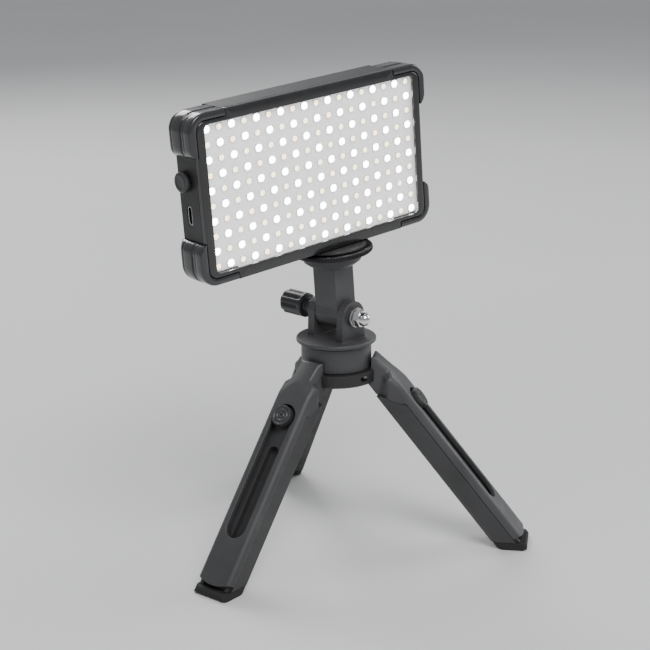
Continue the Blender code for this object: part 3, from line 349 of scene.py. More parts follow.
def lathe(
    profile: np.ndarray, segments: int, relief: Relief | None = None, axis: int = 2
) -> np.ndarray:
    """A profile of (radius, height) points carried round an axis: (r cos a, r sin a, h).

    Args:
        profile: the profile's points.
        segments: how many steps there are round the axis.
        relief: what is added to the radius, as a function of radius, height and angle.
        axis: which of x, y and z is the axis.

    Returns:
        An array of rings, one for each point of the profile.
    """
    angle = np.linspace(0, 2 * math.pi, segments, endpoint=False)[None, :]
    radius = profile[:, 0:1] + 0 * angle
    height = profile[:, 1:2] + 0 * angle
    if relief is not None:
        radius = radius + relief(radius, height, angle + 0 * radius)
    order = [radius * np.cos(angle), radius * np.sin(angle), height]
    return np.stack([order[(index - axis - 1) % 3] for index in range(3)], -1)


# ---------------------------------------------------------------- finishes


class Recipe:
    """A node material put together step by step on the object's own coordinates."""

    def __init__(self, name: str) -> None:
        """Starts a material with one Principled shader.

        Args:
            name: the material's name.
        """
        self.made = bpy.data.materials.new(name)
        self.made.use_nodes = True
        self.tree = self.made.node_tree
        self.shader = self.tree.nodes["Principled BSDF"]
        self.here = self.tree.nodes.new("ShaderNodeTexCoord").outputs["Object"]

    def node(self, kind: str, **settings: object) -> bpy.types.Node:
        """Adds a node and sets its properties.

        Args:
            kind: the node's type.
            settings: its properties by name.

        Returns:
            The new node.
        """
        made = self.tree.nodes.new(kind)
        for name, value in settings.items():
            setattr(made, name, value)
        return made

    def link(self, out: bpy.types.NodeSocket, into: bpy.types.NodeSocket) -> None:
        """Joins an output to an input."""
        self.tree.links.new(out, into)

    def set(self, **values: object) -> None:
        """Sets the shader's own sockets, with underscores for the spaces in their names."""
        for name, value in values.items():
            self.shader.inputs[name.replace("_", " ")].default_value = value

    def aligned(self, axes: Axes) -> None:
        """Measures the patterns from a sub-assembly's own axes.

        Args:
            axes: where the patterns start and how they lie.
        """
        turn = self.node("ShaderNodeMapping", vector_type="TEXTURE")
        turn.inputs["Location"].default_value = axes.matrix().to_translation()
        turn.inputs["Rotation"].default_value = axes.matrix().to_euler()
        self.link(self.here, turn.inputs["Vector"])
        self.here = turn.outputs["Vector"]

    def noise(
        self, size: float, detail: float = 2.0, stretch: Colour = (1, 1, 1)
    ) -> bpy.types.NodeSocket:
        """Smooth noise.

        Args:
            size: its features' size in millimetres.
            detail: how many finer layers are added.
            stretch: one number for each axis, below 1 where the features are longer.

        Returns:
            The noise, about 0.5 on the average.
        """
        scaled = self.node("ShaderNodeVectorMath", operation="MULTIPLY")
        scaled.inputs[1].default_value = stretch
        self.link(self.here, scaled.inputs[0])
        made = self.node("ShaderNodeTexNoise")
        made.inputs["Scale"].default_value = 1000 / size
        made.inputs["Detail"].default_value = detail
        self.link(scaled.outputs[0], made.inputs["Vector"])
        return made.outputs["Fac"]

    def cells(self, size: float) -> bpy.types.NodeSocket:
        """A pattern of round cells.

        Args:
            size: the cells' size in millimetres.

        Returns:
            The distance from the nearest cell's middle.
        """
        made = self.node("ShaderNodeTexVoronoi")
        made.inputs["Scale"].default_value = 1000 / size
        self.link(self.here, made.inputs["Vector"])
        return made.outputs["Distance"]

    def spread(
        self,
        value: bpy.types.NodeSocket,
        low: float,
        high: float,
        first: float = 0.0,
        last: float = 1.0,
    ) -> bpy.types.NodeSocket:
        """Carries a value from one range to another and holds it there.

        Args:
            value: the value.
            low: where the first range starts.
            high: where it ends.
            first: what low becomes.
            last: what high becomes.

        Returns:
            The value in the second range.
        """
        made = self.node("ShaderNodeMapRange")
        names = ("From Min", "From Max", "To Min", "To Max")
        for name, number in zip(names, (low, high, first, last)):
            made.inputs[name].default_value = number
        self.link(value, made.inputs["Value"])
        return made.outputs["Result"]

    def mixed(
        self,
        share: bpy.types.NodeSocket,
        first: bpy.types.NodeSocket | Colour,
        second: bpy.types.NodeSocket | Colour,
    ) -> bpy.types.NodeSocket:
        """Mixes two colours.

        Args:
            share: how much of the second there is.
            first: a socket or a colour.
            second: a socket or a colour.

        Returns:
            The mixed colour.
        """
        made = self.node("ShaderNodeMix", data_type="RGBA")
        self.link(share, made.inputs["Factor"])
        for value, into in ((first, made.inputs["A"]), (second, made.inputs["B"])):
            if isinstance(value, bpy.types.NodeSocket):
                self.link(value, into)
            else:
                into.default_value = (*value, 1.0)
        return made.outputs["Result"]

    def edges(self, width: float) -> tuple[bpy.types.NodeSocket, bpy.types.NodeSocket]:
        """Finds the edges: where a rounded normal turns away from the surface's own.

        Args:
            width: how far the rounding reaches, in millimetres.

        Returns:
            The rounded normal, and a share that is 1 on edges and 0 away from them.
        """
        soft = self.node("ShaderNodeBevel", samples=6)
        soft.inputs["Radius"].default_value = width * MM
        flat = self.node("ShaderNodeNewGeometry")
        facing = self.node("ShaderNodeVectorMath", operation="DOT_PRODUCT")
        self.link(soft.outputs["Normal"], facing.inputs[0])
        self.link(flat.outputs["Normal"], facing.inputs[1])
        return soft.outputs["Normal"], self.spread(facing.outputs["Value"], 0.995, 0.86)

    def bump(
        self,
        height: bpy.types.NodeSocket,
        depth: float,
        normal: bpy.types.NodeSocket | None = None,
    ) -> None:
        """Raises the surface by a height times a depth.

        Args:
            height: the height, from 0 to 1.
            depth: the depth in millimetres.
            normal: the normal that it is raised over, where that isn't the surface's own.
        """
        made = self.node("ShaderNodeBump")
        made.inputs["Distance"].default_value = depth * MM
        self.link(height, made.inputs["Height"])
        if normal is not None:
            self.link(normal, made.inputs["Normal"])
        self.link(made.outputs["Normal"], self.shader.inputs["Normal"])

    def colour(self, value: bpy.types.NodeSocket) -> None:
        """Feeds the shader's base colour."""
        self.link(value, self.shader.inputs["Base Color"])

    def roughness(self, value: bpy.types.NodeSocket) -> None:
        """Feeds the shader's roughness."""
        self.link(value, self.shader.inputs["Roughness"])


_made: dict[str, bpy.types.Material] = {}


@dataclass(frozen=True)
class Finish:
    """What a piece is made of. Each kind writes its own recipe."""

    name: str

    def write(self, recipe: Recipe) -> None:
        """Adds this finish's nodes to a recipe, which each kind does its own way."""
        raise NotImplementedError

    def material(self) -> bpy.types.Material:
        """The finish's material, made the first time and then shared.

        Returns:
            The material.
        """
        if self.name not in _made:
            recipe = Recipe(self.name)
            self.write(recipe)
            _made[self.name] = recipe.made
        return _made[self.name]


@dataclass(frozen=True)
class Moulded(Finish):
    """Moulded plastic or rubber: spark-eroded grain, faint clouding and edges rubbed paler, which on the
    bezel is a painted highlight.
    """

    colour: Colour = (0.03, 0.03, 0.032)
    edge_rub_and_highlight: Colour = (0.09, 0.09, 0.092)
    roughness: float = 0.5
    grain: float = 0.35
    depth: float = 0.02
    edge: float = 0.35
    gloss: float = 0.0

    def write(self, recipe: Recipe) -> None:
        """Grain raises the surface, clouds vary its tone and roughness, and edges are rubbed paler, as a
        painted highlight on the bezel.

        Args:
            recipe: the material being put together.
        """
        normal, worn = recipe.edges(self.edge)
        cloud = recipe.noise(26.0, 3.0)
        grain = recipe.noise(self.grain, 3.0)
        paler = tuple(min(1.0, part * 1.35 + 0.002) for part in self.colour)
        base = recipe.mixed(recipe.spread(cloud, 0.35, 0.65), self.colour, paler)
        # Edges mix toward the rub colour in patches: rubbing on most parts, a painted highlight on the
        # bezel.
        edge_rub_and_highlight_mask = recipe.node("ShaderNodeMath", operation="MULTIPLY")
        recipe.link(worn, edge_rub_and_highlight_mask.inputs[0])
        recipe.link(recipe.spread(recipe.noise(3.5, 4.0), 0.4, 0.62, 0.0, 0.7), edge_rub_and_highlight_mask.inputs[1])
        recipe.colour(recipe.mixed(edge_rub_and_highlight_mask.outputs[0], base, self.edge_rub_and_highlight))
        smear = recipe.noise(9.0, 4.0, (1.0, 0.35, 1.0))
        smooth_patch, dull_patch = self.roughness - 0.06, self.roughness + 0.08
        recipe.roughness(recipe.spread(smear, 0.3, 0.7, smooth_patch, dull_patch))
        recipe.bump(grain, self.depth, normal)
        recipe.set(Specular_IOR_Level=0.5, Coat_Weight=self.gloss, Coat_Roughness=0.12)


@dataclass(frozen=True)
class Metal(Finish):
    """Plated, turned or rolled metal: fine tool lines, a few smudges and brighter edges."""

    colour: Colour = (0.55, 0.55, 0.56)
    roughness: float = 0.3
    lines: Colour = (1.0, 1.0, 0.08)
    depth: float = 0.004
    edge: float = 0.2

    def write(self, recipe: Recipe) -> None:
        """Stretched noise gives the tool lines, and broad noise the smudges.

        Args:
            recipe: the material being put together.
        """
        normal, worn = recipe.edges(self.edge)
        smudge = recipe.noise(6.0, 4.0)
        paler = tuple(min(1.0, part * 1.25 + 0.02) for part in self.colour)
        dull = tuple(part * 0.82 for part in self.colour)
        base = recipe.mixed(recipe.spread(smudge, 0.4, 0.62), self.colour, dull)
        recipe.colour(recipe.mixed(worn, base, paler))
        wiped, smudged = self.roughness * 0.75, self.roughness * 1.35
        recipe.roughness(recipe.spread(smudge, 0.35, 0.7, wiped, smudged))
        recipe.bump(recipe.noise(0.25, 2.0, self.lines), self.depth, normal)
        recipe.set(Metallic=1.0)


@dataclass(frozen=True)
class Clear(Finish):
    """A thin clear or smoked sheet that shows what is behind it, with a few wiping marks."""

    colour: Colour = (0.95, 0.96, 0.97)
    roughness: float = 0.08
    alpha: float = 0.1

    def write(self, recipe: Recipe) -> None:
        """Alpha lets the light through, and noise gives the wiping marks in the gloss.

        Args:
            recipe: the material being put together.
        """
        marks = recipe.noise(14.0, 5.0, (0.3, 1.0, 1.0))
        wiped, marked = self.roughness * 0.6, self.roughness * 1.7
        recipe.roughness(recipe.spread(marks, 0.4, 0.7, wiped, marked))
        haze = recipe.spread(marks, 0.3, 0.7, 0.0, 0.08)
        recipe.colour(recipe.mixed(haze, self.colour, (0.7, 0.7, 0.7)))
        recipe.set(Alpha=self.alpha, IOR=1.49)


@dataclass(frozen=True)
class Phosphor(Finish):
    """The resin over a lamp chip, cool or warm."""

    colour: Colour = (1.0, 0.98, 0.94)
    rim: Colour = (1.0, 0.8, 0.45)
    strength: float = 6.0
    grain: float = 0.22

    def write(self, recipe: Recipe) -> None:
        """Grains of phosphor vary the tint, and the light is the same all over.

        Args:
            recipe: the material being put together.
        """
        grains = recipe.cells(self.grain)
        recipe.colour(recipe.mixed(recipe.spread(grains, 0.1, 0.6), self.colour, self.rim))
        recipe.set(Roughness=0.35, Emission_Color=(*self.colour, 1.0))
        recipe.set(Emission_Strength=self.strength)
        recipe.bump(grains, 0.01)


@dataclass(frozen=True)
class Board(Finish):
    """A circuit board's lacquer, with its copper tracks showing through as faint raised lines, and a
    painted glow that stands for lamp light scattered onto it.
    """

    axes: Axes | None = None
    mask: Colour = (0.82, 0.82, 0.8)
    track: Colour = (0.7, 0.71, 0.7)
    pitch: float = 7.0
    # Painted light: a faint emission that stands for lamp light scattered onto the board.
    painted_glow: float = 0.0
    painted_glow_tint: Colour = (0.98, 0.98, 1.0)

    def write(self, recipe: Recipe) -> None:
        """Two sets of bands cross at the lamps' pitch, noise breaks the lacquer's gloss, and an emission
        paints the glow of scattered lamp light.

        Args:
            recipe: the material being put together.
        """
        recipe.aligned(self.axes)
        bands = []
        for direction in ("X", "Z"):
            band = recipe.node("ShaderNodeTexWave", wave_type="BANDS", bands_direction=direction)
            # A wave of scale s comes round every pi / (10 s) metres.
            band.inputs["Scale"].default_value = math.pi / (10 * self.pitch * MM)
            recipe.link(recipe.here, band.inputs["Vector"])
            bands.append(recipe.spread(band.outputs["Fac"], 0.86, 0.94))
        both = recipe.node("ShaderNodeMath", operation="MAXIMUM")
        recipe.link(bands[0], both.inputs[0])
        recipe.link(bands[1], both.inputs[1])
        lacquer = recipe.noise(4.0, 3.0)
        recipe.colour(recipe.mixed(both.outputs[0], self.mask, self.track))
        recipe.roughness(recipe.spread(lacquer, 0.3, 0.7, 0.32, 0.5))
        recipe.bump(both.outputs[0], 0.03)
        # Painted light: the board is no lamp, and this emission paints the glow of scattered lamp light on
        # it.
        recipe.set(Emission_Color=(*self.painted_glow_tint, 1.0), Emission_Strength=self.painted_glow)


@dataclass(frozen=True)
class Wrap(Finish):
    """Shrink wrap or tape over a cell: glossy, with shallow creases."""

    colour: Colour = (0.08, 0.16, 0.42)

    def write(self, recipe: Recipe) -> None:
        """Broad stretched noise gives the creases.

        Args:
            recipe: the material being put together.
        """
        crease = recipe.noise(12.0, 4.0, (1.0, 1.0, 0.3))
        paler = tuple(part * 1.3 for part in self.colour)
        recipe.colour(recipe.mixed(recipe.spread(crease, 0.35, 0.65), self.colour, paler))
        recipe.roughness(recipe.spread(crease, 0.3, 0.7, 0.25, 0.42))
        recipe.bump(crease, 0.25)


@dataclass(frozen=True)
class Palette:
    """The object's finishes by what they are on: each a name, a colour and a rubbed edge, which on the
    bezel is a painted highlight.
    """

    housing: Finish = Moulded(
        "housing_black", (0.014, 0.014, 0.015), (0.06, 0.06, 0.062),
        roughness=0.42, grain=0.3, depth=0.015)
    # Painted highlight: the bezel's pale edge colour stands for the gloss line along its front edge.
    bezel: Finish = Moulded(
        "bezel_gloss_black", (0.011, 0.011, 0.012), (0.2, 0.2, 0.21),
        roughness=0.26, grain=0.5, depth=0.004, gloss=0.5)
    bumper: Finish = Moulded(
        "bumper_gloss_black", (0.016, 0.016, 0.018), (0.09, 0.09, 0.1),
        roughness=0.24, grain=0.6, depth=0.005, gloss=0.6)
    tripod: Finish = Moulded(
        "tripod_dark_grey", (0.042, 0.042, 0.044), (0.13, 0.13, 0.132),
        roughness=0.46, grain=0.28, depth=0.016)
    inner_leg: Finish = Moulded(
        "inner_leg_black", (0.029, 0.029, 0.03), (0.09, 0.09, 0.092),
        roughness=0.48, grain=0.28, depth=0.016)
    nylon: Finish = Moulded(
        "hub_nylon_black", (0.012, 0.012, 0.0125), (0.05, 0.05, 0.05),
        roughness=0.52, grain=0.4, depth=0.02)
    knob: Finish = Moulded(
        "knob_dark_plastic", (0.024, 0.024, 0.0255), (0.1, 0.1, 0.1),
        roughness=0.4, grain=0.3, depth=0.01)
    button: Finish = Moulded(
        "button_dark_plastic", (0.03, 0.03, 0.031), (0.12, 0.12, 0.12),
        roughness=0.38, grain=0.3, depth=0.008, edge=0.15)
    dial: Finish = Moulded(
        "dial_dark_plastic", (0.03, 0.03, 0.031), (0.12, 0.12, 0.12),
        roughness=0.36, grain=0.3, depth=0.008, edge=0.15)
    rubber: Finish = Moulded(
        "rubber_black", (0.012, 0.012, 0.012), (0.035, 0.034, 0.033),
        roughness=0.78, grain=0.5, depth=0.05)
    cup: Finish = Moulded(
        "lamp_cup_white", (0.84, 0.84, 0.82), (0.9, 0.9, 0.88),
        roughness=0.4, grain=0.2, depth=0.004, edge=0.05)
    steel: Finish = Metal("plated_steel", (0.56, 0.56, 0.57), roughness=0.3)
    bright: Finish = Metal("bright_nickel", (0.86, 0.86, 0.85), roughness=0.09, depth=0.0006)
    brass: Finish = Metal("turned_brass", (0.78, 0.58, 0.26), roughness=0.32)
    anodised: Finish = Metal(
        "anodised_black", (0.035, 0.035, 0.037), roughness=0.36, depth=0.006)
    sheet: Finish = Metal(
        "rolled_aluminium", (0.72, 0.72, 0.73), roughness=0.36, lines=(1.0, 0.05, 1.0))
    window: Finish = Clear("clear_window")
    display: Finish = Clear(
        "smoked_window", (0.006, 0.006, 0.007), roughness=0.1, alpha=0.94)
    cool: Finish = Phosphor("lamp_cool", (0.97, 0.985, 1.0), (1.0, 0.97, 0.9), strength=16.0)
    warm: Finish = Phosphor("lamp_warm", (1.0, 0.86, 0.64), (0.98, 0.7, 0.34), strength=4.2)
    battery: Finish = Wrap("battery_wrap")


PALETTE = Palette()


def keep(piece: bpy.types.Object, body: str, slot: str, *nodes: str) -> bpy.types.Object:
    """Makes a new piece ride on a body and stand for CAD nodes.

    Args:
        piece: the new piece.
        body: the body that carries it.
        slot: a material slot's name; not used.
        nodes: the CAD nodes that it replaces.

    Returns:
        The piece.
    """
    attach(piece, body)
    if nodes:
        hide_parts(*nodes)
    LOG.info("%s rides on %s with %d faces", piece.name, body, len(piece.data.polygons))
    return piece


def dress(finish: Finish, *nodes: str) -> None:
    """Gives CAD nodes a finish in every material slot, and leaves their shapes alone.

    Args:
        finish: what they are made of.
        nodes: the CAD nodes' names.
    """
    for name in nodes:
        solid = frame["nodes"][name]
        if not solid.data.materials:
            solid.data.materials.append(finish.material())
        for slot in solid.material_slots:
            slot.material = finish.material()
        LOG.info("%s keeps its CAD shape in %s", name, finish.name)


# ---------------------------------------------------------------- the lamp


class Corner(Enum):
    """Which corner of the panel a bumper is on, as its directions across and up."""

    TOP_LEFT = (-1, 1)
    TOP_RIGHT = (1, 1)
    BOTTOM_RIGHT = (1, -1)
    BOTTOM_LEFT = (-1, -1)


@dataclass
class Lamp:
    """The panel: bezel, bumpers, lamps, dial and screws, from the middle of its body."""

    axes: Axes
    half_width: float = 66.3
    half_height: float = 39.5
    depth: float = 18.6
    frame_depth: float = 3.0
    bumper_side: float = 4.0
    bumper_top: float = 3.2
    bumper_length: float = 20.0
    bumper_radius: float = 8.5
    gap: float = 0.3
    pitch: float = 7.0
    columns: int = 18
    rows: int = 10
    margin: float = 2.6
    lamp_depth: float = 2.4
    lamp_height: float = 0.7
    lamp_corners: int = 12
    cool_size: tuple[float, float, float] = (1.2, 1.0, 1.25)
    warm_size: tuple[float, float, float] = (0.9, 1.0, 0.95)
    socket_across: float = 12.4
    lip: float = 1.2
    seat: float = 2.0
    opening_radius: float = 2.5
    seat_radius: float = 3.0
    edge_round: float = 0.9
    groove_place: float = -1.9
    groove_half: float = 0.8
    groove_floor: float = 0.72
    dial_radius: float = 4.9
    dial_thickness: float = 2.4
    dial_place: tuple[float, float] = (3.2, 7.9)
    dial_press: float = 0.5
    dial_ridges: int = 36
    ridge_depth: float = 0.22
    screw_place: tuple[float, float] = (56.0, 28.0)
    screw_head: float = 2.6
    screw_shank: float = 1.2
    screw_length: float = 7.2
    cross_reach: float = 1.5
    cross_half: float = 0.42
    cross_depth: float = 0.6

    def outline(self, inset: float = 0.0) -> np.ndarray:
        """The body's outline from the front: a rectangle stepped in at its corners, rounded.

        Args:
            inset: how far inside the body it lies.

        Returns:
            The closed outline's points, in order.
        """
        side = self.half_width - inset
        top = self.half_height - inset
        seat_top = self.half_height - self.bumper_top - self.gap - inset
        step = self.half_width + self.bumper_side - self.bumper_length - self.gap - inset
        radius = self.bumper_radius - self.bumper_side - inset
        corner = arc((side - radius, seat_top - radius), radius, 0, 90, 12)
        stair = [(step + 2, seat_top), (step, seat_top), (step, top), (step - 2, top)]
        quarter = np.concatenate([corner, fillet(stair, 0.3, 3)])
        upper = np.concatenate([quarter, quarter[::-1] * (-1, 1)])
        return np.concatenate([upper, -upper])

    def bezel(self) -> bpy.types.Object:
        """The front frame: a rounded section whose points run along matched outlines.

        A ray from the middle meets the opening, the window's seat and the outside, and those
        three points carry the section on that ray.

        Returns:
            The frame.
        """
        wide = self.pitch * (self.columns - 1) / 2 + self.margin
        high = self.pitch * (self.rows - 1) / 2 + self.margin
        inner = rounded_rectangle(wide, high, self.opening_radius, 10)
        seat = rounded_rectangle(
            wide + self.seat, high + self.seat - self.gap, self.seat_radius, 6)
        outer = self.outline()
        angle = bearings(inner, outer, seat)
        hole, pocket, edge = cast(inner, angle), cast(seat, angle), cast(outer, angle)
        front = -self.depth / 2
        inward = -edge / np.linalg.norm(edge, axis=1, keepdims=True)
        outward = hole / np.linalg.norm(hole, axis=1, keepdims=True)
        section = [(hole, front + self.lip)]
        lip_round = ((0.0, 0.35), (0.1, 0.12), (0.3, 0.02), (0.5, 0.0))
        section += [(hole + outward * away, front + down) for away, down in lip_round]
        size = self.edge_round
        section += [
            (edge + inward * size * (1 - math.sin(turn)), front + size * (1 - math.cos(turn)))
            for turn in np.radians(np.linspace(0, 90, 6))
        ]
        back = front + self.frame_depth
        section += [(edge, back), (pocket, back), (pocket, front + self.lip)]
        rings = np.stack([
            np.stack([line[:, 0], np.full(len(angle), level), line[:, 1]], -1)
            for line, level in section
        ])
        made = Surface().tube(rings, self.axes, loop=True).piece("front_bezel", PALETTE.bezel, 30)
        return keep(made, "light", "shell_black", "front_frame")

    def bumper(self, corner: Corner) -> bpy.types.Object:
        """One corner bumper: a ribbed section carried round the corner along two matched lines.

        Each point is the inner line plus a share of the way to the outer line, at its own depth.

        Args:
            corner: which corner it is on.

        Returns:
            The bumper.
        """
        across, up = corner.value
        outer_width = self.half_width + self.bumper_side
        inner_width = self.half_width + self.gap
        inner_height = self.half_height - self.bumper_top
        radius = self.bumper_radius
        inner_radius = radius - self.bumper_side + self.gap
        low = self.half_height - self.bumper_length
        far = outer_width - self.bumper_length
        turn = np.radians(np.linspace(0, 90, 17))
        swing = np.stack([np.cos(turn), np.sin(turn)], -1)
        heel = [(inner_width + 0.5, low), (outer_width - 1.0, low + 1.6)]
        heel += [(outer_width, low + 3.6), (outer_width, low + 8.0)]
        side = fillet(heel, 2.0, 5)
        middle = np.array([outer_width - radius, self.half_height - radius])
        outer = np.concatenate([side, middle + radius * swing, [(far, self.half_height)]])
        share = np.linspace(0, 1, len(side))
        rise = low + (side[:, 1] - low) * (0.35 + 0.65 * share)
        middle = np.array([inner_width - inner_radius, inner_height - inner_radius])
        inner = np.concatenate([
            np.stack([np.full(len(share), inner_width), rise], -1),
            middle + inner_radius * swing,
            [(far, inner_height)],
        ])
        front, back = -self.depth / 2, self.depth / 2
        groove, half, floor = self.groove_place, self.groove_half, self.groove_floor
        corners = [(front, 0.0), (front, 0.8), (front + 0.9, 1.0), (groove - half - 2.4, 1.0)]
        corners += [(groove - half - 1.8, 0.95), (groove - half - 1.2, 1.0), (groove - half, 1.0)]
        corners += [(groove - half + 0.25, floor), (groove + half - 0.25, floor)]
        corners += [(groove + half, 1.0), (back - 4.8, 1.0), (back - 4.0, 0.84)]
        corners += [(back - 3.1, 0.96), (back - 1.8, 0.82), (back - 0.5, 0.35), (back - 0.2, 0.0)]
        section = fillet(corners, 0.45, 3, closed=True)
        place = inner[:, None, :] + (outer - inner)[:, None, :] * section[None, :, 1:2]
        depth = np.broadcast_to(section[None, :, 0], place.shape[:2])
        rings = np.stack([across * place[..., 0], depth, up * place[..., 1]], -1)
        name = f"bumper_{corner.name.lower()}"
        made = Surface().tube(rings, self.axes).piece(name + "_skin", PALETTE.bumper, 40)
        return keep(made, "light", "bumper_smoke", name)

    def lamps(self) -> list[bpy.types.Object]:
        """The lamp packages: square cups with a round dish of resin, cool and warm in turn.

        Each ring is |x/a|^p + |z/b|^p = 1, where p falls from a square's 9 to a circle's 2.

        Returns:
            The cups, the cool lamps and the warm lamps.
        """
        plane = -self.depth / 2 + self.lamp_depth
        foot = plane + self.lamp_height

        def ring(a: float, b: float, power: float, level: float) -> np.ndarray:
            """One ring of a package.

            Args:
                a: half its width.
                b: half its height.
                power: how square it is.
                level: its y.

            Returns:
                The ring's points.
            """
            count = self.lamp_corners
            angle = np.linspace(0, 2 * math.pi, count, endpoint=False) + math.pi / count
            cosine, sine = np.cos(angle), np.sin(angle)
            size = (np.abs(cosine) ** power + np.abs(sine) ** power) ** (-1 / power)
            return np.stack([a * size * cosine, np.full(count, level), b * size * sine], -1)

        cup = np.stack([
            ring(1.8, 1.6, 9, foot),
            ring(1.8, 1.6, 9, plane + 0.05),
            ring(1.7, 1.5, 8, plane),
            ring(1.55, 1.4, 3, plane),
            ring(1.45, 1.3, 2.4, plane + 0.25),
        ])
        dome = np.stack([
            ring(1.52, 1.37, 2.6, plane + 0.2),
            ring(1.4, 1.26, 2.3, plane + 0.02),
            ring(0.8, 0.7, 2, plane - 0.14),
            ring(0.0, 0.0, 2, plane - 0.19),
        ])
        column, row = np.meshgrid(np.arange(self.columns), np.arange(self.rows), indexing="ij")
        across = (column - (self.columns - 1) / 2) * self.pitch
        up = (row - (self.rows - 1) / 2) * self.pitch
        places = np.stack([across, 0.0 * across, up], -1).reshape(-1, 3)
        cool = ((column + row) % 2 == 1).reshape(-1)
        kinds = (
            ("lamps_cool", PALETTE.cool, self.cool_size, places[cool]),
            ("lamps_warm", PALETTE.warm, self.warm_size, places[~cool]),
        )
        cups = Surface()
        for _, _, size, chosen in kinds:
            cups.copies(cup * size, chosen, self.axes)
        made = [cups.piece("lamp_cups", PALETTE.cup)]
        for name, finish, size, chosen in kinds:
            made.append(Surface().copies(dome * size, chosen, self.axes).piece(name, finish))
        return [keep(piece, "light", "board_white") for piece in made]

    def dial(self) -> bpy.types.Object:
        """The dial cap: a turned cap with ridges round its rim.

        The rim's radius falls by the ridge depth * (0.5 + 0.5 cos(36 a))^2.

        Returns:
            The cap.
        """
        inner = -(self.dial_press + self.gap)
        outer = inner - self.dial_thickness
        radius = self.dial_radius
        corners = [(0, outer + 0.25), (radius - 2.6, outer + 0.25), (radius - 2.1, outer)]
        corners += [(radius - 0.9, outer), (radius, outer + 0.8), (radius, inner)]
        corners += [(1.8, inner), (1.8, outer + 0.6), (0, outer + 0.6)]
        profile = fillet(corners, 0.35, 3)

        def ridges(size: np.ndarray, height: np.ndarray, angle: np.ndarray) -> np.ndarray:
            """Ridges on the rim only, each a raised cosine.

            Args:
                size: the radius.
                height: the height, which the ridges don't depend on.
                angle: the angle in radians.

            Returns:
                What is added to the radius.
            """
            rim = np.clip((size - radius + 0.6) / 0.5, 0, 1)
            return -self.ridge_depth * rim * (0.5 + 0.5 * np.cos(self.dial_ridges * angle)) ** 2

        place = self.axes.moved(-self.half_width, *self.dial_place)
        rings = lathe(profile, self.dial_ridges * 6, ridges, 0)
        made = Surface().tube(rings, place).piece("dial_cap", PALETTE.dial, 40)
        return keep(made, "dial_cap", "dial_plastic", "dial")

    def screws(self) -> bpy.types.Object:
        """The cover's screws: crowned discs whose faces sink where a cross of two bars lies.

        The face falls by 0.12 (r / R)^4, and by the cross's depth where the smaller of |x| and
        |z| is less than half a bar's width and r is less than the cross's reach.

        Returns:
            The four screws as one piece.
        """
        back, head = self.depth / 2, self.screw_head
        angle = np.linspace(0, 2 * math.pi, 64, endpoint=False)[None, :]
        radius = np.array([0.0, 0.3, 0.6, 0.9, 1.2, 1.35, 1.5, 1.8, 2.2, 2.45, 2.58])[:, None]
        x, z = radius * np.cos(angle), radius * np.sin(angle)
        bar = np.minimum(np.abs(x), np.abs(z))
        reach = np.clip((self.cross_reach - radius) / 0.15, 0, 1)
        sunk = self.cross_depth * reach * np.clip((self.cross_half - bar) / 0.12, 0, 1)
        crown = 0.12 * (radius / head) ** 4
        face = np.stack([x, back - 0.1 - sunk - crown, z], -1)
        shank = self.screw_shank
        below = ((head, 0.35), (head, 0.9), (shank, 0.9), (shank, self.screw_length))
        turned = np.array([(size, back - down) for size, down in below])
        rings = np.concatenate([face, lathe(turned, 64, None, 1)[..., ::-1]])
        across, up = self.screw_place
        places = np.array([(sx * across, 0.0, sz * up) for sx in (-1, 1) for sz in (-1, 1)])
        made = Surface().copies(rings, places, self.axes).piece("cover_screws", PALETTE.steel, 30)
        return keep(made, "light", "plain_steel", *[f"cover_screw_{n}" for n in (1, 2, 3, 4)])

    def build(self) -> None:
        """Makes the lamp's pieces and dresses the nodes that keep their CAD shape."""
        self.bezel()
        for corner in Corner:
            self.bumper(corner)
        self.lamps()
        self.dial()
        self.screws()
        # The white board's emission of 0.75 is painted light for the lamps' scattered glow.
        board = Board("board_white_mask", self.axes, pitch=self.pitch, painted_glow=0.75)
        control = Board("board_green_mask", self.axes, (0.02, 0.13, 0.05), (0.04, 0.2, 0.08), 2.5)
        dress(board, "lamp_board")
        dress(control, "control_board")
        dress(PALETTE.window, "front_window")
        dress(PALETTE.housing, "rear_cover")
        dress(PALETTE.sheet, "heat_spreader")
        dress(PALETTE.battery, "battery_pack")
        dress(PALETTE.steel, "usb_port", "encoder", "encoder_shaft")
        dress(PALETTE.nylon, "usb_tongue", "display_module")
        dress(PALETTE.display, "display_window")
        dress(PALETTE.brass, "socket_insert")


# ---------------------------------------------------------------- the tilt head


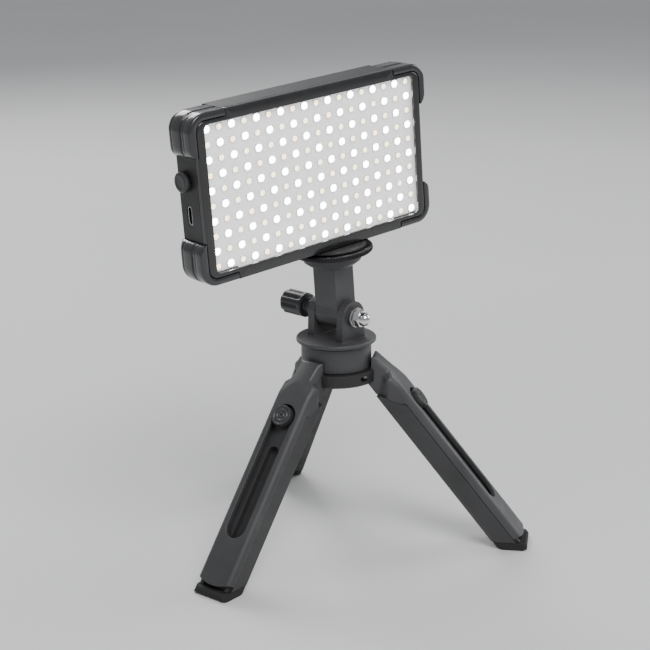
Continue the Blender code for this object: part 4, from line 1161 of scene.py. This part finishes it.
@dataclass
class TiltHead:
    """The tilting block and the ring that locks the lamp on its stud, from the tilt pivot."""

    axes: Axes
    body_bottom: float = 35.4
    ring_radius: float = 20.0
    ring_thickness: float = 2.8
    pad_thickness: float = 0.8
    gap: float = 0.3
    bore: float = 3.5
    knurls: int = 90
    knurl_depth: float = 0.35
    pad_radius: float = 17.0
    pad_bore: float = 4.5
    pad_groove: float = 0.18
    pad_pitch: float = 2.6

    def ring(self) -> bpy.types.Object:
        """The lock ring: a turned disc whose rim carries fine upright knurls.

        The rim's radius falls by the knurl depth * cos(45 a)^2 between crests.

        Returns:
            The ring.
        """
        high = self.body_bottom - self.gap - self.pad_thickness - self.gap
        low = high - self.ring_thickness
        radius = self.ring_radius
        corners = [(self.bore, low), (radius - 3.5, low), (radius - 3.0, low + 0.25)]
        corners += [(radius - 0.7, low + 0.25), (radius, low + 0.8), (radius, high - 0.6)]
        corners += [(radius - 0.6, high), (self.bore, high)]
        profile = fillet(corners, 0.3, 2, closed=True)

        def knurl(size: np.ndarray, height: np.ndarray, angle: np.ndarray) -> np.ndarray:
            """Knurls on the rim only.

            Args:
                size: the radius.
                height: the height, which the knurls don't depend on.
                angle: the angle in radians.

            Returns:
                What is added to the radius.
            """
            rim = np.clip((size - radius + 0.5) / 0.45, 0, 1)
            return -self.knurl_depth * rim * np.cos(self.knurls * angle / 2) ** 2

        rings = lathe(profile, self.knurls * 6, knurl)
        made = Surface().tube(rings, self.axes, loop=True).piece("lock_ring_knurled", PALETTE.anodised, 40)
        return keep(made, "ring", "dark_ring", "lock_ring")

    def pad(self) -> bpy.types.Object:
        """The rubber pad: a flat ring with concentric grooves.

        Its top falls by the groove's depth * (0.5 + 0.5 cos(2 pi (r - bore) / pitch))^3.

        Returns:
            The pad.
        """
        high = self.body_bottom - self.gap
        low = high - self.pad_thickness
        radius = np.linspace(self.pad_bore, self.pad_radius, 60)
        turn = 2 * math.pi * (radius - self.bore) / self.pad_pitch
        wave = self.pad_groove * (0.5 + 0.5 * np.cos(turn)) ** 3
        top = np.stack([radius, high - wave], -1)
        under = np.array([(self.pad_radius, low), (self.pad_bore, low)])
        rings = lathe(np.concatenate([top, under]), 96)
        made = Surface().tube(rings, self.axes, loop=True).piece("ring_pad_grooved", PALETTE.rubber, 40)
        return keep(made, "ring", "rubber_black", "ring_pad")

    def build(self) -> None:
        """Makes the ring and its pad, and dresses the block and the stud."""
        self.ring()
        self.pad()
        dress(PALETTE.tripod, "tilt_tongue")
        dress(PALETTE.steel, "camera_stud")


@dataclass
class Clamp:
    """The thumb knob and the acorn nut on the tilt bolt, from the pivot with X to the nut."""

    axes: Axes
    ear_outside: float = 11.7
    boss: float = 1.3
    gap: float = 0.3
    washer: float = 0.8
    nut_flats: float = 7.6
    nut_hex: float = 3.4
    nut_height: float = 7.6
    knob_radius: float = 6.1
    knob_length: float = 15.0
    collar_radius: float = 3.6
    collar_length: float = 7.0
    lobes: int = 8
    flute_depth: float = 1.0
    bolt_clear: float = 2.3
    nut_bore: float = 4.8
    chamfer: float = 1.7

    def nut(self) -> bpy.types.Object:
        """The acorn nut: a hexagon chamfered by a cone, under a half ellipsoid dome.

        Round the axis the radius is the smaller of the hexagon's f / cos(a mod 60 - 30) and the
        cone's, and over the dome it is (f - 0.35) cos(t) at a height of h sin(t).

        Returns:
            The nut.
        """
        low = self.ear_outside + self.boss + self.gap + self.washer + self.gap
        flat = self.nut_flats / 2
        angle = np.linspace(0, 2 * math.pi, 144, endpoint=False)[None, :]
        hexagon = flat / np.cos((angle % (math.pi / 3)) - math.pi / 6)
        level = np.array([0.0, 0.25, 0.5, 0.9, 1.6, 2.3, 2.7, 3.0, 3.2, self.nut_hex])[:, None]
        cone = flat + 0.1 + np.minimum(level, self.nut_hex - level) * self.chamfer
        body = np.minimum(hexagon, cone)
        swing = np.radians(np.linspace(0, 90, 17))[:, None]
        dome = (flat - 0.35) * np.cos(swing) + 0 * angle
        dome[-1] = 0
        depth, wide = self.nut_bore, self.bolt_clear
        bore = np.array([[0.0, depth], [wide, depth], [wide, 0.0]])
        neck = np.array([[flat - 0.1]])
        radius = np.concatenate([bore[:, :1] + 0 * angle, body, neck + 0 * angle, dome])
        rise = (self.nut_height - self.nut_hex) * np.sin(swing)
        height = np.concatenate([bore[:, 1:], level, [[self.nut_hex]], self.nut_hex + rise])
        height = height + 0 * angle
        rings = np.stack([low + height, radius * np.cos(angle), radius * np.sin(angle)], -1)
        made = Surface().tube(rings, self.axes).piece("acorn_nut_domed", PALETTE.bright, 28)
        return keep(made, "head", "chrome_nut", "acorn_nut")

    def knob(self) -> bpy.types.Object:
        """The thumb knob: a turned grip whose radius dips between lobes, and a tapered collar.

        The dip is the flute depth * (0.5 + 0.5 cos(8 a))^3 on the grip and fades out towards its
        ends.

        Returns:
            The knob.
        """
        start = -(self.ear_outside + self.gap)
        low = start - self.collar_length
        end = low - self.knob_length
        radius = self.knob_radius
        grip = np.linspace(low - 1.4, end + 1.6, 22)
        corners = [(0, end + 0.5), (radius - 2.6, end + 0.5), (radius - 2.0, end)]
        corners += [(radius - 1.3, end), (radius, end + 1.3), (radius, end + 1.6)]
        head = fillet(corners, 0.6, 4)
        side = np.stack([np.full(len(grip), radius), grip[::-1]], -1)
        collar, bore, depth = self.collar_radius, self.bolt_clear, low - 4.3
        corners = [(radius, low - 1.4), (radius, low - 0.5), (radius - 0.8, low)]
        corners += [(collar + 0.4, low), (collar, low + 0.5), (collar, start)]
        corners += [(bore, start), (bore, depth), (0, depth)]
        profile = np.concatenate([head, side[1:-1], fillet(corners, 0.35, 3)])

        def flutes(size: np.ndarray, height: np.ndarray, angle: np.ndarray) -> np.ndarray:
            """Flutes along the grip only.

            Args:
                size: the radius.
                height: the place along the knob.
                angle: the angle in radians.

            Returns:
                What is added to the radius.
            """
            ends = np.clip((height - end - 0.2) / 1.4, 0, 1)
            ends = ends * np.clip((low - 1.2 - height) / 2.4, 0, 1)
            rim = np.clip((size - radius + 2.4) / 2.0, 0, 1)
            return -self.flute_depth * rim * ends * (0.5 + 0.5 * np.cos(self.lobes * angle)) ** 3

        rings = lathe(profile, 192, flutes, 0)
        made = Surface().tube(rings, self.axes).piece("thumb_knob_fluted", PALETTE.knob, 40)
        return keep(made, "knob", "knob_plastic", "thumb_knob")

    def build(self) -> None:
        """Makes the nut and the knob, and dresses the washer and the bolt."""
        self.nut()
        self.knob()
        dress(PALETTE.steel, "nut_washer", "tilt_bolt")


@dataclass
class Hub:
    """The turning flange with its ears, the cup, and the slotted base that the legs hinge in."""

    pins: tuple[int, ...] = (1, 2, 3)

    def build(self) -> None:
        """Dresses the hub's nodes, which keep their CAD shapes."""
        dress(PALETTE.tripod, "pan_fork", "hub_cup")
        dress(PALETTE.nylon, "hub_base")
        dress(PALETTE.steel, "centre_screw", *[f"hinge_pin_{number}" for number in self.pins])


# ---------------------------------------------------------------- the legs


def smooth(share: np.ndarray) -> np.ndarray:
    """An S-shaped step from 0 to 1: 3 t^2 - 2 t^3 with t held between 0 and 1."""
    held = np.clip(share, 0, 1)
    return held * held * (3 - 2 * held)


@dataclass
class LegShell:
    """A leg's moulded cover: a channel with a slot in its face, and a narrow neck at its hinge.

    Every point comes from a station z down the leg and a place round the section there.
    """

    face: float = 11.8
    back: float = -1.8
    half_width: float = 10.3
    neck_half: float = 6.5
    neck_top: float = 5.0
    length: float = 112.0
    bevel: float = 3.1
    bevel_drop: float = 3.3
    skirt: float = 3.6
    wall: float = 1.5
    front_wall: float = 2.0
    block_end: float = 14.0
    flare_start: float = 11.0
    flare_end: float = 22.0
    shoulder: float = 1.8
    slot_half: float = 5.65
    keyhole: float = 6.5
    button_down: float = 25.7
    slot_end: float = 82.7
    arch: float = 7.9
    arch_curve: float = 0.12
    nose_slope: float = 0.2
    nose_soft: float = 0.8
    tip: float = 1.5
    tip_drop: float = 0.7
    shoulder_top: float = 9.6
    shoulder_foot: float = 1.0
    shoulder_lean: float = 0.907
    back_lean: float = 0.115
    lip: float = 0.25
    sag_start: float = 90.0
    end_sag: float = 2.6
    eye: float = 2.7

    def slot(self, z: np.ndarray) -> np.ndarray:
        """Half the slot's width: a keyhole circle, straight sides and a round end.

        A circle of radius R is sqrt(R^2 - d^2) wide at a distance d from its middle.

        Args:
            z: the stations.

        Returns:
            The half width at each, 0 where there is no slot.
        """
        above = z + self.button_down
        below = z + self.slot_end
        circle = np.sqrt(np.clip(self.keyhole**2 - above**2, 0, None))
        straight = np.where((above <= 0) & (below >= 0), self.slot_half, 0.0)
        end = np.where(below <= 0, np.sqrt(np.clip(self.slot_half**2 - below**2, 0, None)), 0.0)
        return np.maximum(circle, np.maximum(straight, end))

    def front(self, x: np.ndarray, z: np.ndarray) -> np.ndarray:
        """The face's height: flat, then falling away above an arch at -7.9 - 0.12 x^2.

        The fall is 0.2 (d + sqrt(d^2 + 0.8)) / 2 for a distance d above the arch, and the tip
        under the neck's top is rounded off.

        Args:
            x: the places across.
            z: the stations.

        Returns:
            The height at each.
        """
        over = z + self.arch + self.arch_curve * x**2
        fall = self.nose_slope * (over + np.sqrt(over**2 + self.nose_soft)) / 2
        tip = np.clip((z - self.neck_top + self.tip) / self.tip, 0, 1)
        return self.face - fall - self.tip_drop * (1 - np.sqrt(1 - 0.98 * tip**2))

    def width(self, y: np.ndarray, z: np.ndarray) -> np.ndarray:
        """Half the width at a height and a station: the neck's, then the full width.

        It grows by an S-shaped step below a line that slants away from the hub.

        Args:
            y: the heights.
            z: the stations.

        Returns:
            The half width at each.
        """
        top, foot = self.shoulder_top, self.shoulder_foot
        slanted = -self.shoulder - (top - y) * self.shoulder_lean
        low = -9.6 - (foot - y) * self.back_lean
        edge = np.where(y > top, -self.shoulder, np.where(y > foot, slanted, low))
        reach = np.interp(y, [foot, 6.0, top], [8.0, 6.0, 2.2])
        return self.neck_half + (self.half_width - self.neck_half) * smooth((edge - z) / reach)

    def low(self, z: np.ndarray) -> np.ndarray:
        """How far back the sides reach: the skirt, its flare, the back and the neck's edge.

        The flare runs along the leg as 1 - cos(1.2 sin(90 t)) while its height runs evenly.

        Args:
            z: the stations.

        Returns:
            The y of the lower edge at each.
        """
        share = np.linspace(0, 1, 25)
        swing = 1 - np.cos(1.2 * np.sin(share * math.pi / 2))
        flare = self.flare_end - self.flare_start
        flare_z = -(self.flare_start + flare * swing / swing[-1])
        skirt = self.face - self.skirt
        flare_y = self.back + (skirt - self.back) * share
        line_z = np.concatenate([[-self.length], flare_z[::-1], [-2.2, 0.9, 1.6, self.neck_top]])
        line_y = np.concatenate([[skirt], flare_y[::-1], [self.back, 3.5, 4.6, 7.4]])
        return np.interp(z, line_z, line_y)

    def stations(self) -> np.ndarray:
        """Where the sections lie, closer together where the shape turns.

        Returns:
            The stations from the neck's top down.
        """
        turn = np.radians(np.linspace(90, 0, 11))
        key = -self.button_down + self.keyhole * np.sin(turn)
        meet = -self.button_down - math.sqrt(self.keyhole**2 - self.slot_half**2)
        end = -self.slot_end - self.slot_half * np.sin(turn[::-1])
        block, button = -self.block_end, -self.button_down
        parts = [np.linspace(self.neck_top, self.neck_top - self.tip, 5)]
        parts += [np.linspace(3, -1.7, 8), np.linspace(-1.85, block, 26)]
        parts += [np.linspace(block - 0.4, -19.0, 9), key, np.linspace(button, meet, 4)]
        parts += [np.linspace(meet, -self.slot_end, 16), end]
        parts += [np.linspace(-89, -self.length, 12)]
        found = np.concatenate(parts)
        return -np.unique(np.round(-found, 4))

    def outer(self, z: np.ndarray) -> np.ndarray:
        """Half the outside at every station: the slot's lip, the face, the bevel and the side.

        Args:
            z: the stations.

        Returns:
            An array of stations by points by (x, y, z), from the slot to the lower edge.
        """
        z = z[:, None]
        slot = self.slot(z)
        lip = np.where(slot > 0, self.lip, 0.0)
        guess = self.front(self.half_width - self.bevel, z) - self.bevel_drop
        high = np.maximum(guess, self.low(z) + 0.3)
        wide = self.width(high, z)
        corner = np.maximum(wide - self.bevel * (wide / self.half_width), slot + 0.35)
        share = np.linspace(0, 1, 9)[None, :]
        face_x = slot + lip + (corner - slot - lip) * share
        face_y = self.front(face_x, z)
        swing = np.radians(np.linspace(90, 0, 9))[None, 1:]
        top = self.front(corner, z)
        bevel_x = corner + (wide - corner) * np.cos(swing)
        bevel_y = high + (top - high) * np.sin(swing)
        side_y = high + (self.low(z) - high) * np.linspace(0, 1, 12)[None, 1:]
        side_x = self.width(side_y, z)
        lip_x, lip_y = slot, self.front(slot, z) - lip
        x = np.concatenate([lip_x, face_x, bevel_x, side_x], 1)
        y = np.concatenate([lip_y, face_y, bevel_y, side_y], 1)
        return np.stack([x, y, z + 0 * x], -1)

    def inner(self, z: np.ndarray, hollow: np.ndarray) -> np.ndarray:
        """Half the inside: the channel where it is hollow, and one straight line where it isn't.

        Args:
            z: the stations.
            hollow: whether each station has a channel.

        Returns:
            An array of stations by points by (x, y, z), from the slot to the lower edge.
        """
        z = z[:, None]
        low = self.low(z)
        side = self.half_width - self.wall
        roof = self.face - self.front_wall
        slot = self.slot(z)
        flat = slot + (side - slot) * np.linspace(0, 1, 6)[None, :]
        down = np.linspace(0, 1, 6)[None, 1:]
        x = np.concatenate([flat, side + 0 * down + 0 * z], 1)
        y = np.concatenate([roof + 0 * flat, roof + (low - roof) * down], 1)
        line = self.width(low, z) * np.linspace(0, 1, x.shape[1])[None, :]
        x = np.where(hollow[:, None], x, line)
        y = np.where(hollow[:, None], y, low + 0 * line)
        return np.stack([x, y, z + 0 * x], -1)

    def build(self, axes: Axes, name: str) -> bpy.types.Object:
        """Joins the two halves, inside and out, and closes the neck, the lower end and the slot.

        Args:
            axes: the leg's own axes.
            name: the piece's name.

        Returns:
            The cover.
        """
        z = self.stations()
        twice = np.sort(np.append(z, -self.block_end))[::-1]
        first = int(np.argmax(twice <= -self.block_end)) + 1
        hollow = np.arange(len(twice)) >= first
        outside, inside = self.outer(twice), self.inner(twice, hollow)
        loop = np.concatenate([outside, inside[:, ::-1]], 1)
        ramp = smooth((-self.sag_start - loop[..., 2]) / (self.length - self.sag_start))
        loop[..., 2] += self.end_sag * ramp * (loop[..., 0] / self.half_width) ** 2
        rows, columns = loop.shape[:2]
        number = np.arange(rows * columns).reshape(rows, columns)
        above, below = number[:-1], number[1:]
        quads = np.stack([above[:, :-1], above[:, 1:], below[:, 1:], below[:, :-1]], -1)
        open_slot = (self.slot(twice[:-1]) > 0) | (self.slot(twice[1:]) > 0)
        wall = np.stack([above[:, 0], below[:, 0], below[:, -1], above[:, -1]], -1)[open_slot]
        faces = quads.reshape(-1, 4).tolist() + wall.tolist() + [number[0].tolist()]
        count = outside.shape[1]
        across, within = loop[-1, :count], loop[-1, count:][::-1]
        share, spread = np.linspace(0, 1, count), np.linspace(0, 1, len(within))
        matched = np.stack([np.interp(share, spread, part) for part in within.T], -1)
        start = np.arange(count - 1)
        closing = np.stack([start, start + 1, count + start + 1, count + start], -1).tolist()
        made = Surface()
        for half, joined in ((loop, faces), (np.concatenate([across, matched]), closing)):
            for side in (1, -1):
                made.add(axes.world(half * (side, 1, 1)), joined)
        angle = np.linspace(0, 2 * math.pi, 40, endpoint=False)[None, :]
        eye, rim = self.eye, self.eye - 0.3
        reach = np.array([0.0, rim, eye, eye, rim, 0.0])[:, None]
        across = np.array([-1, -1, -0.96, 0.96, 1, 1])[:, None] * (self.neck_half - 0.02)
        boss = np.stack([across + 0 * angle, reach * np.cos(angle), reach * np.sin(angle)], -1)
        return made.tube(boss, axes).piece(name, PALETTE.tripod, 32)


@dataclass
class Leg:
    """One leg from its hinge: X across it, Y out of its face, Z up along it."""

    number: int
    axes: Axes
    face: float = 11.8
    button_down: float = 25.7
    button_radius: float = 5.2
    button_proud: float = 2.2
    button_press: float = 1.4
    stem_radius: float = 2.3
    core_face: float = 8.4
    stem_low: float = 2.2
    dimple: float = 0.9
    ring_depth: float = 0.5
    ring_pitch: float = 1.85

    def button(self) -> bpy.types.Object:
        """The release button: a turned cap with rings and a dimple, height against radius.

        Between the rings the face sinks by 0.5 mm * (0.5 - 0.5 cos(2 pi (r - 0.9) / 1.85))^1.5.

        Returns:
            The button.
        """
        top = self.face + self.button_proud
        low = self.core_face + self.button_press + 0.3
        radius = np.linspace(self.dimple, self.button_radius - 0.55, 44)
        turn = 2 * math.pi * (radius - self.dimple) / self.ring_pitch
        wave = self.ring_depth * (0.5 - 0.5 * np.cos(turn)) ** 1.5
        sunk = ((0.0, 0.9), (0.35, 0.85), (0.6, 0.5), (0.75, 0.12))
        dimple = np.array([(away, top - down) for away, down in sunk])
        face = np.stack([radius, top - wave], -1)
        side, stem = self.button_radius, self.stem_radius
        corners = [(side - 0.5, top), (side, top), (side, low)]
        corners += [(stem, low), (stem, self.stem_low), (0.0, self.stem_low)]
        rim = fillet(corners, 0.4, 4)
        rings = lathe(np.concatenate([dimple, face, rim[1:]]), 72, None, 1)
        place = self.axes.moved(0.0, 0.0, -self.button_down)
        made = Surface().tube(rings, place).piece(f"leg_button_{self.number}_ringed", PALETTE.button, 40)
        return keep(made, f"leg_lock_{self.number}", "knob_plastic", f"leg_button_{self.number}")

    def build(self) -> None:
        """Makes the button and a new shell cover, and dresses the inner leg, the foot and the spring."""
        self.button()
        cover = LegShell().build(self.axes, f"leg_cover_{self.number}")
        keep(cover, f"leg_{self.number}", "tripod_grey", f"leg_shell_{self.number}")
        dress(PALETTE.inner_leg, f"leg_core_{self.number}")
        dress(PALETTE.rubber, f"leg_foot_{self.number}")
        dress(PALETTE.steel, f"button_spring_{self.number}")


# ---------------------------------------------------------------- the studio


@dataclass
class Studio:
    """A pale floor, soft lights and the camera."""

    eye: tuple[float, float, float] = (-0.4802, -0.5869, 0.3347)
    forward: tuple[float, float, float] = (0.6166, 0.7347, -0.2828)
    roll: float = -0.69
    lens: float = 89.7
    sensor: float = 36.0
    aim: tuple[float, float, float] = (0, 0, 0.12)
    floor_radius: float = 12.0
    sky: Colour = (0.9, 0.92, 0.95)
    sky_strength: float = 0.42

    def floor(self) -> None:
        """A wide flat floor: a disc of one ring closed by a face."""
        angle = np.linspace(0, 2 * math.pi, 64, endpoint=False)
        points = np.stack([np.cos(angle), np.sin(angle), 0 * angle], -1) * self.floor_radius
        mesh = bpy.data.meshes.new("studio_floor")
        mesh.from_pydata(points.tolist(), [], [list(range(len(points)))])
        ground = bpy.data.objects.new("studio_floor", mesh)
        bpy.context.scene.collection.objects.link(ground)
        recipe = Recipe("studio_floor")
        cloud = recipe.spread(recipe.noise(400.0, 2.0), 0.3, 0.7)
        recipe.colour(recipe.mixed(cloud, (0.7, 0.7, 0.7), (0.73, 0.73, 0.73)))
        recipe.set(Roughness=0.6)
        mesh.materials.append(recipe.made)

    def light(
        self, name: str, place: tuple[float, float, float], size: float, power: float
    ) -> None:
        """A square soft light that faces the object.

        Args:
            name: the light's name.
            place: where it hangs, in metres.
            size: its side, in metres.
            power: its power in watts.
        """
        data = bpy.data.lights.new(name, "AREA")
        data.shape = "SQUARE"
        data.size = size
        data.energy = power
        lamp = bpy.data.objects.new(name, data)
        bpy.context.scene.collection.objects.link(lamp)
        lamp.location = place
        toward = Vector(self.aim) - Vector(place)
        lamp.rotation_euler = toward.to_track_quat("-Z", "Y").to_euler()

    def camera(self) -> None:
        """The camera, looking along forward with a small roll."""
        ahead = Vector(self.forward).normalized()
        level = ahead.cross(Vector((0, 0, 1))).normalized()
        above = level.cross(ahead)
        turn = math.radians(self.roll)
        right = level * math.cos(turn) + above * math.sin(turn)
        up = right.cross(ahead)
        data = bpy.data.cameras.new("camera")
        data.lens = self.lens
        data.sensor_width = self.sensor
        data.clip_start = 0.01
        data.clip_end = 50.0
        eye = bpy.data.objects.new("camera", data)
        bpy.context.scene.collection.objects.link(eye)
        eye.matrix_world = Matrix((
            (right.x, up.x, -ahead.x, self.eye[0]),
            (right.y, up.y, -ahead.y, self.eye[1]),
            (right.z, up.z, -ahead.z, self.eye[2]),
            (0, 0, 0, 1),
        ))
        bpy.context.scene.camera = eye

    def build(self) -> None:
        """Sets out the floor, the sky, three soft lights and the camera."""
        self.floor()
        world = bpy.data.worlds.new("soft_sky")
        world.use_nodes = True
        backdrop = world.node_tree.nodes["Background"].inputs
        backdrop["Color"].default_value = (*self.sky, 1)
        backdrop["Strength"].default_value = self.sky_strength
        bpy.context.scene.world = world
        self.light("key_light", (-0.3, -1.0, 1.4), 0.8, 19.0)
        self.light("fill_light", (1.3, -0.3, 0.7), 0.8, 7.0)
        self.light("back_light", (0.3, 1.2, 1.0), 0.7, 12.0)
        self.camera()


# ---------------------------------------------------------------- all of it


def main() -> None:
    """Builds every sub-assembly over the frame, in order."""
    logging.basicConfig(level=logging.INFO, format="%(message)s")
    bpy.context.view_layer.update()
    joints = Joints(frame["joints"])
    studio = Studio()
    studio.build()

    across, upright = joints.axis("dial_turn"), joints.axis("light_pan")
    seat = joints.axes(joints.place("light_pan"), across, upright)
    Lamp(seat.moved(-Lamp.socket_across, 0.0, Lamp.half_height)).build()

    pivot, tilt = joints.place("light_tilt"), joints.axis("light_tilt")
    TiltHead(joints.axes(pivot, tilt, upright)).build()
    Clamp(joints.axes(pivot, tilt, joints.axis("head_pan"))).build()
    Hub().build()

    for number in (1, 2, 3):
        hinge = joints.place(f"leg_fold_{number}")
        sideways, up = -joints.axis(f"leg_fold_{number}"), -joints.axis(f"leg_extend_{number}")
        Leg(number, joints.axes(hinge, sideways, up)).build()


if __name__ == "__main__":
    main()
